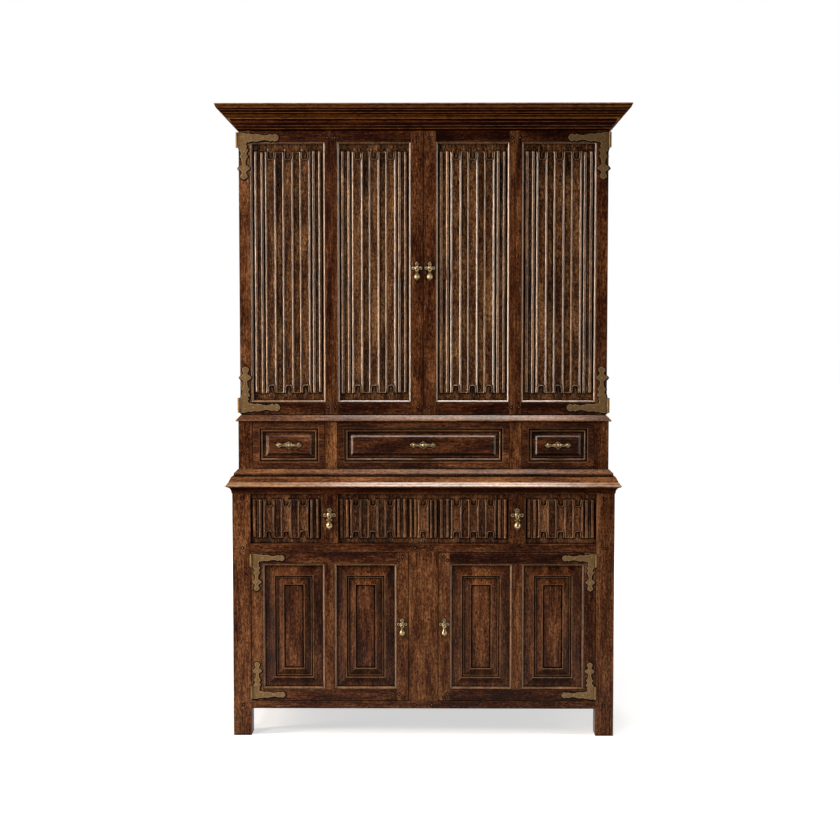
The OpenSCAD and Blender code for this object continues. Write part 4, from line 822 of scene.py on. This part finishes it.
# Middle of the strap's width, and half its width at distances from the corner, in millimetres
STRAP_MID = 18.5
STRAP_ARM = [
    (31, 12.6), (36, 15.8), (41, 13.4), (52, 11.6), (61, 13.6), (72, 12), (82, 8.8), (94, 7.2), (106, 9.6),
    (115, 12.8), (120, 8.6), (125, 10.8), (130, 12.8), (136, 10.8), (141, 5.4), (143, 0.6)]
STRAP_TAIL = [
    (33, 12.8), (38, 9), (43, 6.6), (48, 11.6), (55, 7.2), (62, 15.8), (69, 11.4), (75, 8.2), (81, 12.6),
    (85, 14.8), (91, 10), (98, 7), (108, 5.8), (114, 5.6), (119, 13), (123, 18.4), (127, 21.6), (131, 17),
    (135, 10), (141, 5.8), (147, 8.6), (152, 11.8), (157, 12.2), (162, 7.4), (166, 0.6)]


def eased_edge(stops):
    """Points of a scalloped edge: half widths that swing softly from stop to stop."""
    points = []
    for (a, from_half), (b, to_half) in zip(stops, stops[1:]):
        count = max(2, int((b - a) / 1.5))
        for t in np.arange(count) / count:
            points.append((a + (b - a) * t, from_half + (to_half - from_half) * smooth(t, 0, 1)))
    return np.array(points + [stops[-1]])


def strap_outline():
    arm, tail = eased_edge(STRAP_ARM), eased_edge(STRAP_TAIL)
    corner = [(0.2, 6), (0.3, 1.4), (1.4, 0.3), (6, 0.2), (12, 0.4), (19, 1.4), (25, 3.2)]
    upper = [(s, STRAP_MID - half) for s, half in arm]
    lower = [(s, STRAP_MID + half) for s, half in arm[::-1]]
    inner = [(STRAP_MID + half, t) for t, half in tail]
    outer = [(STRAP_MID - half, t) for t, half in tail[::-1] if t > 58]
    side = [(1.2, 56), (0.4, 52), (0.2, 44), (0.2, 34), (0.2, 24), (0.2, 14)]
    return np.array(corner + upper + lower + inner + outer + side)


def room_beside(outline, normal):
    """How far each point of an outline can move along its normal before the outline meets itself."""
    apart = outline[None, :, :] - outline[:, None, :]
    ahead = np.einsum("ijk,ik->ij", apart, normal)
    reach = np.sum(apart ** 2, axis=2) / np.maximum(2 * ahead, 1e-6)
    return 0.8 * np.min(np.where(ahead > 1e-4, reach, 1e6), axis=1)


def raised_plate(made, outline, face_y, thick, rim, grow=0.0):
    """A plate on an upright face, from its outline in millimetres, with a rounded rim that is painted
    paler, as abrasion and as a highlight.
    """
    ahead, behind = np.roll(outline, -1, axis=0), np.roll(outline, 1, axis=0)
    if np.sum(outline[:, 0] * ahead[:, 1] - ahead[:, 0] * outline[:, 1]) < 0:
        outline = outline[::-1]
        ahead, behind = np.roll(outline, -1, axis=0), np.roll(outline, 1, axis=0)
    run = ahead - behind
    inward = np.stack([-run[:, 1], run[:, 0]], axis=1) / np.maximum(np.hypot(*run.T), 1e-6)[:, None]
    room = room_beside(outline, inward)
    grown = np.minimum(grow, room_beside(outline, -inward))
    rings = []
    for inset, out, wear_and_painted_light in ((0, -0.2, 0.0), (0, 0.8 * thick, 0.5), (0.5, thick, 0.7), (rim, thick, 0.3),
                               (rim + 1.0, 0.85 * thick, 0.0)):
        edge = outline + inward * (np.minimum(inset, room) - grown)[:, None]
        rings.append(ring_of(made, [(x * MM, face_y - out * MM, z * MM) for x, z in edge], wear_and_painted_light))
    join_rings(made, rings)
    made.faces.new(rings[-1])
    made.faces.new(rings[0][::-1])


def circle(middle, axis, along, reach, count):
    """Points of a circle about an axis through the middle, in millimetres along it and out from it."""
    others = [i for i in range(3) if i != axis]
    points = []
    for k in range(count):
        turn = 2 * math.pi * k / count
        point = Vector(middle)
        point[axis] += along * MM
        point[others[0]] += reach * MM * math.cos(turn)
        point[others[1]] += reach * MM * math.sin(turn)
        points.append(point)
    return points


def turned(made, middle, profile, axis, sides=20, wear_and_painted_light=0.8):
    """A turned form about an axis through the middle: (distance along it, radius), in millimetres."""
    widest = max(r for _, r in profile)
    # The widest parts are painted palest: wear and painted highlight
    rings = [ring_of(made, circle(middle, axis, along, r, sides if r > 0 else 1),
                     wear_and_painted_light * (r / widest) ** 2) for along, r in profile]
    fresh = join_rings(made, rings)
    fresh += [made.faces.new(ring) for ring in (rings[0], rings[-1]) if len(ring) > 1]
    bmesh.ops.recalc_face_normals(made, faces=fresh)


def ring_of_wire(made, middle, radius, wire, axis, wear_and_painted_light=0.6, wire_sides=10, sides=22):
    """A closed ring of round wire that lies across the given axis."""
    hoops = []
    for j in range(wire_sides):
        bend = 2 * math.pi * j / wire_sides
        hoops.append(circle(middle, axis, wire * math.sin(bend), radius + wire * math.cos(bend), sides))
    rings = [ring_of(made, [hoop[k] for hoop in hoops], wear_and_painted_light) for k in range(sides)]
    bmesh.ops.recalc_face_normals(made, faces=join_rings(made, rings + rings[:1]))


# Nearly black, matt and a little lumpy: thin sheets of painted shadow and painted shade laid on the wood
painted_shade_black = bpy.data.materials.new("old_black_wax")
tree = empty_tree(painted_shade_black)
lumps = add(tree, "TexNoise", {"Vector": add(tree, "TexCoord", out="Object"), "Scale": 1 / (3 * MM),
                               "Detail": 4})
shade = add(tree, "ValToRGB", lumps, stops=[(0.35, "#040201"), (0.7, "#100704")])
bumped = add(tree, "Bump", {"Height": lumps, "Strength": 0.4, "Distance": 0.3 * MM})
shader = add(tree, "BsdfPrincipled", {"Base Color": shade, "Roughness": 0.7, "Specular IOR Level": 0.1,
                                      "Normal": bumped})
add(tree, "OutputMaterial", shader, out=None)


def seat_plate(cast, wax, outline, face_y, thick=1.8, rim=1.0, shift=(0, 0), shadow_spread=2.6):
    """A plate on the wood, and round it a thin black sheet, moved by the shift and grown out, that is a
    painted shadow.
    """
    raised_plate(cast, outline, face_y, thick, rim)
    raised_plate(wax, outline + shift, face_y, 0.35, rim=0.8, grow=shadow_spread)


NAIL = [(0.2, 2.5), (-0.3, 2.4), (-0.6, 1.8), (-0.8, 1), (-0.9, 0)]
NAIL_PLACES = [(14, 14), (46, 18.5), (88, 18.5), (130, 18.5), (18.5, 66), (18.5, 126)]


def nail_on_straps(side, door, share, edge_x, face_y, hinges):
    """The two straps of one door, with their nails and the black painted shadow round them."""
    outline = strap_outline() * share
    cast, wax = bmesh.new(), bmesh.new()
    for corner, way in ((hinges[1], 1), (hinges[0], -1)):
        end_z = corner.z / MM
        placed = np.stack([side * (edge_x - outline[:, 0]), end_z - way * outline[:, 1]], axis=1)
        # The black sheet is shifted right and down and grown out: a painted cast shadow
        seat_plate(cast, wax, placed, face_y, 1.9, 1.5, (1.2, -1.0), 4.2)
        for a, b in NAIL_PLACES:
            middle = (side * (edge_x - a * share) * MM, face_y - 1.8 * MM, (end_z - way * b * share) * MM)
            turned(cast, middle, NAIL, axis=1, sides=12, wear_and_painted_light=1.0)
    show(door + "_straps", cast, strap_brass, door, smooth_deg=40)
    show(door + "_strap_wax", wax, painted_shade_black, door, smooth_deg=40)


def show_hinges(node, piece, body, wanted, cut_x=None, nodes=()):
    """Those knuckles and leaves of a CAD node that pass the test, cut off at cut_x if it is given."""
    made = boards_of(node, 0.25)
    keep_islands(made, wanted)
    if cut_x:
        keep_beyond(made, cut_x)
    show(node + piece, made, strap_brass, body, nodes)


BASE_DOOR_EDGE = 615.6
for side, word in ((-1, "left"), (1, "right")):
    node, leaf = word + "_outer_leaf_hinges", word + "_outer_leaf"
    leaf_edge = max(abs(corner.x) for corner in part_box(leaf + "_frame")) / MM
    show_hinges(node, "_barrels", leaf, lambda low, high: max(abs(low.x), abs(high.x)) > 0.5,
                side * (leaf_edge - 3) * MM, [node])
    show_hinges(node, "_seams", leaf, lambda low, high: max(abs(low.x), abs(high.x)) < 0.5)
    nail_on_straps(side, leaf, 1.0, leaf_edge - 0.4, LEAF_FACE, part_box(node))

    node, door = word + "_base_door_brass", word + "_base_door"
    show_hinges(node, "_barrels", door, lambda low, high: high.z - low.z > 0.1,
                side * (BASE_DOOR_EDGE - 2.5) * MM, [node])
    nail_on_straps(side, door, 0.81, BASE_DOOR_EDGE, BASE_FACE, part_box(node))

    node = word + "_inner_leaf_brass"
    show_hinges(node, "_seams", word + "_inner_leaf", lambda low, high: low.y > -0.24, nodes=[node])


# Drop pulls. A cast brass plate with round lobes is nailed to the stile, a staple stands out of its boss,
# and a turned drop hangs in the staple by an eye. Fingers have rubbed them brighter than the hinges, and
# their pale high places are partly painted highlight.

pull_brass = aged_brass("rubbed_and_lit_cast_brass", "#3c2c1a", "#7a6240", "#a88a5c", "#f0d8aa", 0.26, 0.5)
DOOR_LOBES = [(13.5, 0, 6), (-13.5, 0, 6), (-3.4, 15, 4.2), (3.4, 15, 4.2), (0, 19.5, 3.8), (0, -11.5, 5.2),
              (0, 0, 8.6)]
DROP = [
    (-9, 2.2), (-10.4, 2.8), (-11.4, 4.4), (-12.6, 5), (-13.8, 4.4), (-14.6, 3.4), (-16.5, 4.4), (-20, 6),
    (-24, 8.1), (-28, 9.9), (-31.5, 10.5), (-34.5, 10), (-37.5, 8.2), (-40, 5.6), (-41.6, 3.4),
    (-42.4, 2.3), (-43.2, 2.6), (-44.2, 2.2), (-45, 0)]


def lobed_outline(lobes, waist=3.4, points=144):
    """The outline of round lobes, each (x, z, radius), joined to the middle by straight arms."""
    outline = []
    for k in range(points):
        turn = 2 * math.pi * k / points
        ray = np.array([math.cos(turn), math.sin(turn)])
        reach = 0.0
        for x, z, r in lobes:
            centre = np.array([x, z])
            ahead = float(centre @ ray)
            left = r * r - float(centre @ centre) + ahead * ahead
            if left >= 0:
                reach = max(reach, ahead + math.sqrt(left))
            length = math.hypot(x, z)
            if length > 0 and ahead > 0:
                aside = abs(float(centre[0] * ray[1] - centre[1] * ray[0])) / length
                if aside * length < waist * ahead or aside * reach < waist:
                    reach = max(reach, min(length, waist / max(aside, 1e-3)))
        outline.append(reach * ray)
    return np.array(outline)


def drop_pull(name, drop_node, plate_body, drop_body, lobes, face_y, size, knobs=()):
    """One pull: plate, boss and staple on the door, and the drop on its own body."""
    low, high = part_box(drop_node)
    pivot = Vector(((low.x + high.x) / 2, (low.y + high.y) / 2, high.z - 3 * MM))
    outline = lobed_outline(lobes) * size + np.array([pivot.x, pivot.z]) / MM
    plate, wax, drop = bmesh.new(), bmesh.new(), bmesh.new()
    # The black sheet round the plate is a painted shadow
    seat_plate(plate, wax, outline, face_y)
    out = (face_y - pivot.y) / MM
    boss = [(0, 7 * size), (-2.6, 7 * size), (-3.6, 6 * size), (-4.4, 3.6), (-5, 1.7), (3.2 - out, 1.7)]
    turned(plate, (pivot.x, face_y, pivot.z), boss, axis=1)
    ring_of_wire(plate, pivot + Vector((0, 0, 1.0 * MM)), 2.5, 0.9, axis=0)
    for x, z in ((13.5, 0), (-13.5, 0), (0, 15)):
        middle = Vector((pivot.x + x * size * MM, face_y - 1.7 * MM, pivot.z + z * size * MM))
        ring_of_wire(plate, middle, 3.7 * size, 1.3, axis=1, wear_and_painted_light=0.7, wire_sides=8)
        # Black discs inside the lobe rings are painted shade in their holes
        turned(wax, middle, [(0.2, 2.4 * size), (-0.3, 2.4 * size), (-0.4, 0)], axis=1, sides=14,
               wear_and_painted_light=0.0)
    ring_of_wire(drop, pivot - Vector((0, 0, 5.0 * MM)), 5.0, 1.9, axis=1, wear_and_painted_light=0.8)
    # A black disc behind the eye is painted shade in its hole
    turned(wax, (pivot.x, face_y - 3.4 * MM, pivot.z - 5 * MM), [(0.2, 3.6), (-2.6, 3.6), (-2.8, 0)],
           axis=1, sides=14, wear_and_painted_light=0.0)
    turned(drop, pivot, [(s * size, r * (size if s < -15 else 1)) for s, r in DROP], axis=2, wear_and_painted_light=0.9)
    for x, z, r in knobs:
        ball = [(r * math.sin(t), r * math.cos(t)) for t in np.linspace(-1.55, 1.55, 9)]
        ball[0], ball[-1] = (ball[0][0], 0), (ball[-1][0], 0)
        turned(drop, pivot + Vector((x * MM, 0, z * MM)), ball, axis=2, sides=12, wear_and_painted_light=1.0)
    show(name + "_plate", plate, pull_brass, plate_body, smooth_deg=40, flats=False)
    show(name + "_wax", wax, painted_shade_black, plate_body, smooth_deg=40)
    show(name + "_drop", drop, pull_brass, drop_body, [drop_node], smooth_deg=50, flats=False)


for word in ("left", "right"):
    for pull, drop, plate_body, drop_body, face_y, size in (
            ("_door_pull", "_door_drop", "_inner_leaf", "_door_pull", LEAF_FACE, 1.0),
            ("_base_pull", "_base_door_drop", "_base_door", "_base_door_pull", BASE_FACE, 0.95)):
        drop_pull(word + pull, word + drop, word + plate_body, word + drop_body, DOOR_LOBES, face_y, size)


# Pulls of the frieze drawers. They are larger castings of the same kind, with a knob on either side
# of the drop's neck.

FRIEZE_LOBES = [(14, 0, 5.6), (-14, 0, 5.6), (-3.6, 15, 4.2), (3.6, 15, 4.2), (0, 19, 3.6), (0, -11, 5.4),
                (0, 0, 9)]
for word in ("left", "right"):
    low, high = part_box(word + "_frieze_front")
    drop_node, body = word + "_frieze_drop", word + "_frieze_drawer"
    drop_pull(drop_node + "_pull", drop_node, body, word + "_frieze_pull", FRIEZE_LOBES, BASE_FACE, 1.18,
              knobs=((7.4, -17, 2.9), (-7.4, -17, 2.9)))
    seat = bmesh.new()
    turned(seat, ((low.x + high.x) / 2, BASE_FACE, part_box(drop_node)[1].z - 3 * MM),
           [(0, 4), (-1, 4), (-2, 3)], axis=1, sides=12)
    show(word + "_frieze_plate_boss", seat, pull_brass, body, [word + "_frieze_plate"])


# Bar pulls of the row drawers. A cast plate of three diamonds carries two posts and a middle boss,
# and a turned bar runs between the posts.

def mirrored(half):
    """A profile that is given from its middle out to one end, made whole."""
    return [(-s, r) for s, r in half[:0:-1]] + half


BAR_PLATE = mirrored([(0, 14.6), (4, 12), (9, 8.2), (15, 4.6), (26, 4.2), (31, 6), (36, 10.4), (41, 6),
                      (46.5, 1.5)])
BAR = mirrored([(0, 5.6), (3, 4.6), (4.5, 3.0), (7, 4.4), (12, 3.9), (20, 2.8), (26, 2.5), (29, 3.4),
                (32, 2.4), (34.5, 3.6), (37, 2.4), (38, 0)])
for place in ("left", "centre", "right"):
    node = place + "_row_pull"
    low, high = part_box(node)
    middle = Vector(((low.x + high.x) / 2, high.y, (low.z + high.z) / 2))
    upper = np.array(BAR_PLATE)
    outline = np.concatenate([upper, (upper * (1, -1))[::-1]])
    ahead = np.roll(outline, -1, axis=0)
    # Each corner is cut off, so that the diamonds are a little blunt
    outline = np.stack([0.75 * outline + 0.25 * ahead, 0.25 * outline + 0.75 * ahead], axis=1)
    outline = outline.reshape(-1, 2) + np.array([middle.x, middle.z]) / MM
    made, wax = bmesh.new(), bmesh.new()
    # The black sheet round the plate is a painted shadow
    seat_plate(made, wax, outline, middle.y)
    for x in (-34.5, 34.5):
        turned(made, middle + Vector((x * MM, 0, 0)),
               [(0.2, 5.4), (-2.2, 5.4), (-3.2, 3.6), (-6, 2.6), (-9, 2.8)], axis=1, sides=16)
    turned(made, middle, [(0.2, 6.4), (-2.2, 6.4), (-3.4, 5.2), (-4.0, 3.0), (-4.2, 0)], axis=1, sides=18)
    turned(made, middle + Vector((0, -9.0 * MM, 0)), BAR, axis=0, wear_and_painted_light=1.0)
    show(node + "_cast", made, pull_brass, place + "_row_drawer", [node], smooth_deg=45,
         flats=False)
    show(node + "_wax", wax, painted_shade_black, place + "_row_drawer", smooth_deg=40)


# Pegs. Riven oak pegs are driven through the joints of the frames and stand a little proud, dark at their
# end grain, a little paler round the edge as wear and painted highlight, and ringed by a black sheet that
# is painted shade.

PEG = [(0.2, 2.6), (-0.8, 2.4), (-1.5, 1.6), (-1.8, 0)]
PEG_SHADE_RING = [(0.2, 6.8), (-0.15, 6.6), (-0.3, 5.6), (-0.3, 0)]


def pegs(name, body, face_y, places):
    heads, rings = bmesh.new(), bmesh.new()
    for x, z in places:
        middle = (x * MM, face_y, z * MM)
        turned(heads, middle, PEG, axis=1, sides=12, wear_and_painted_light=0.2)
        turned(rings, middle, PEG_SHADE_RING, axis=1, sides=14, wear_and_painted_light=0.0)
    lay_grain(heads, name, along=1, tone_shift=0.4)
    show(name, heads, bead_oak, body, smooth_deg=40, flats=False)
    show(name + "_wax", rings, painted_shade_black, body, smooth_deg=40)


pegs("case_pegs", "carcass", BASE_FACE, [(side * 651, z) for side in (-1, 1) for z in (684, 112, 862)]
     + [(side * 30, z) for side in (-1, 1) for z in (684, 112)])
for side, word in ((-1, "left"), (1, "right")):
    for door, face_y, places in (
            ("_base_door", BASE_FACE, ((88, 640), (88, 152), (74, 652), (74, 140))),
            ("_inner_leaf", LEAF_FACE, ((20, 2150), (20, 1190), (316, 2150), (316, 1190))),
            ("_outer_leaf", LEAF_FACE, ((343, 2150), (343, 1190)))):
        pegs(word + door + "_pegs", word + door, face_y, [(side * x, z) for x, z in places])
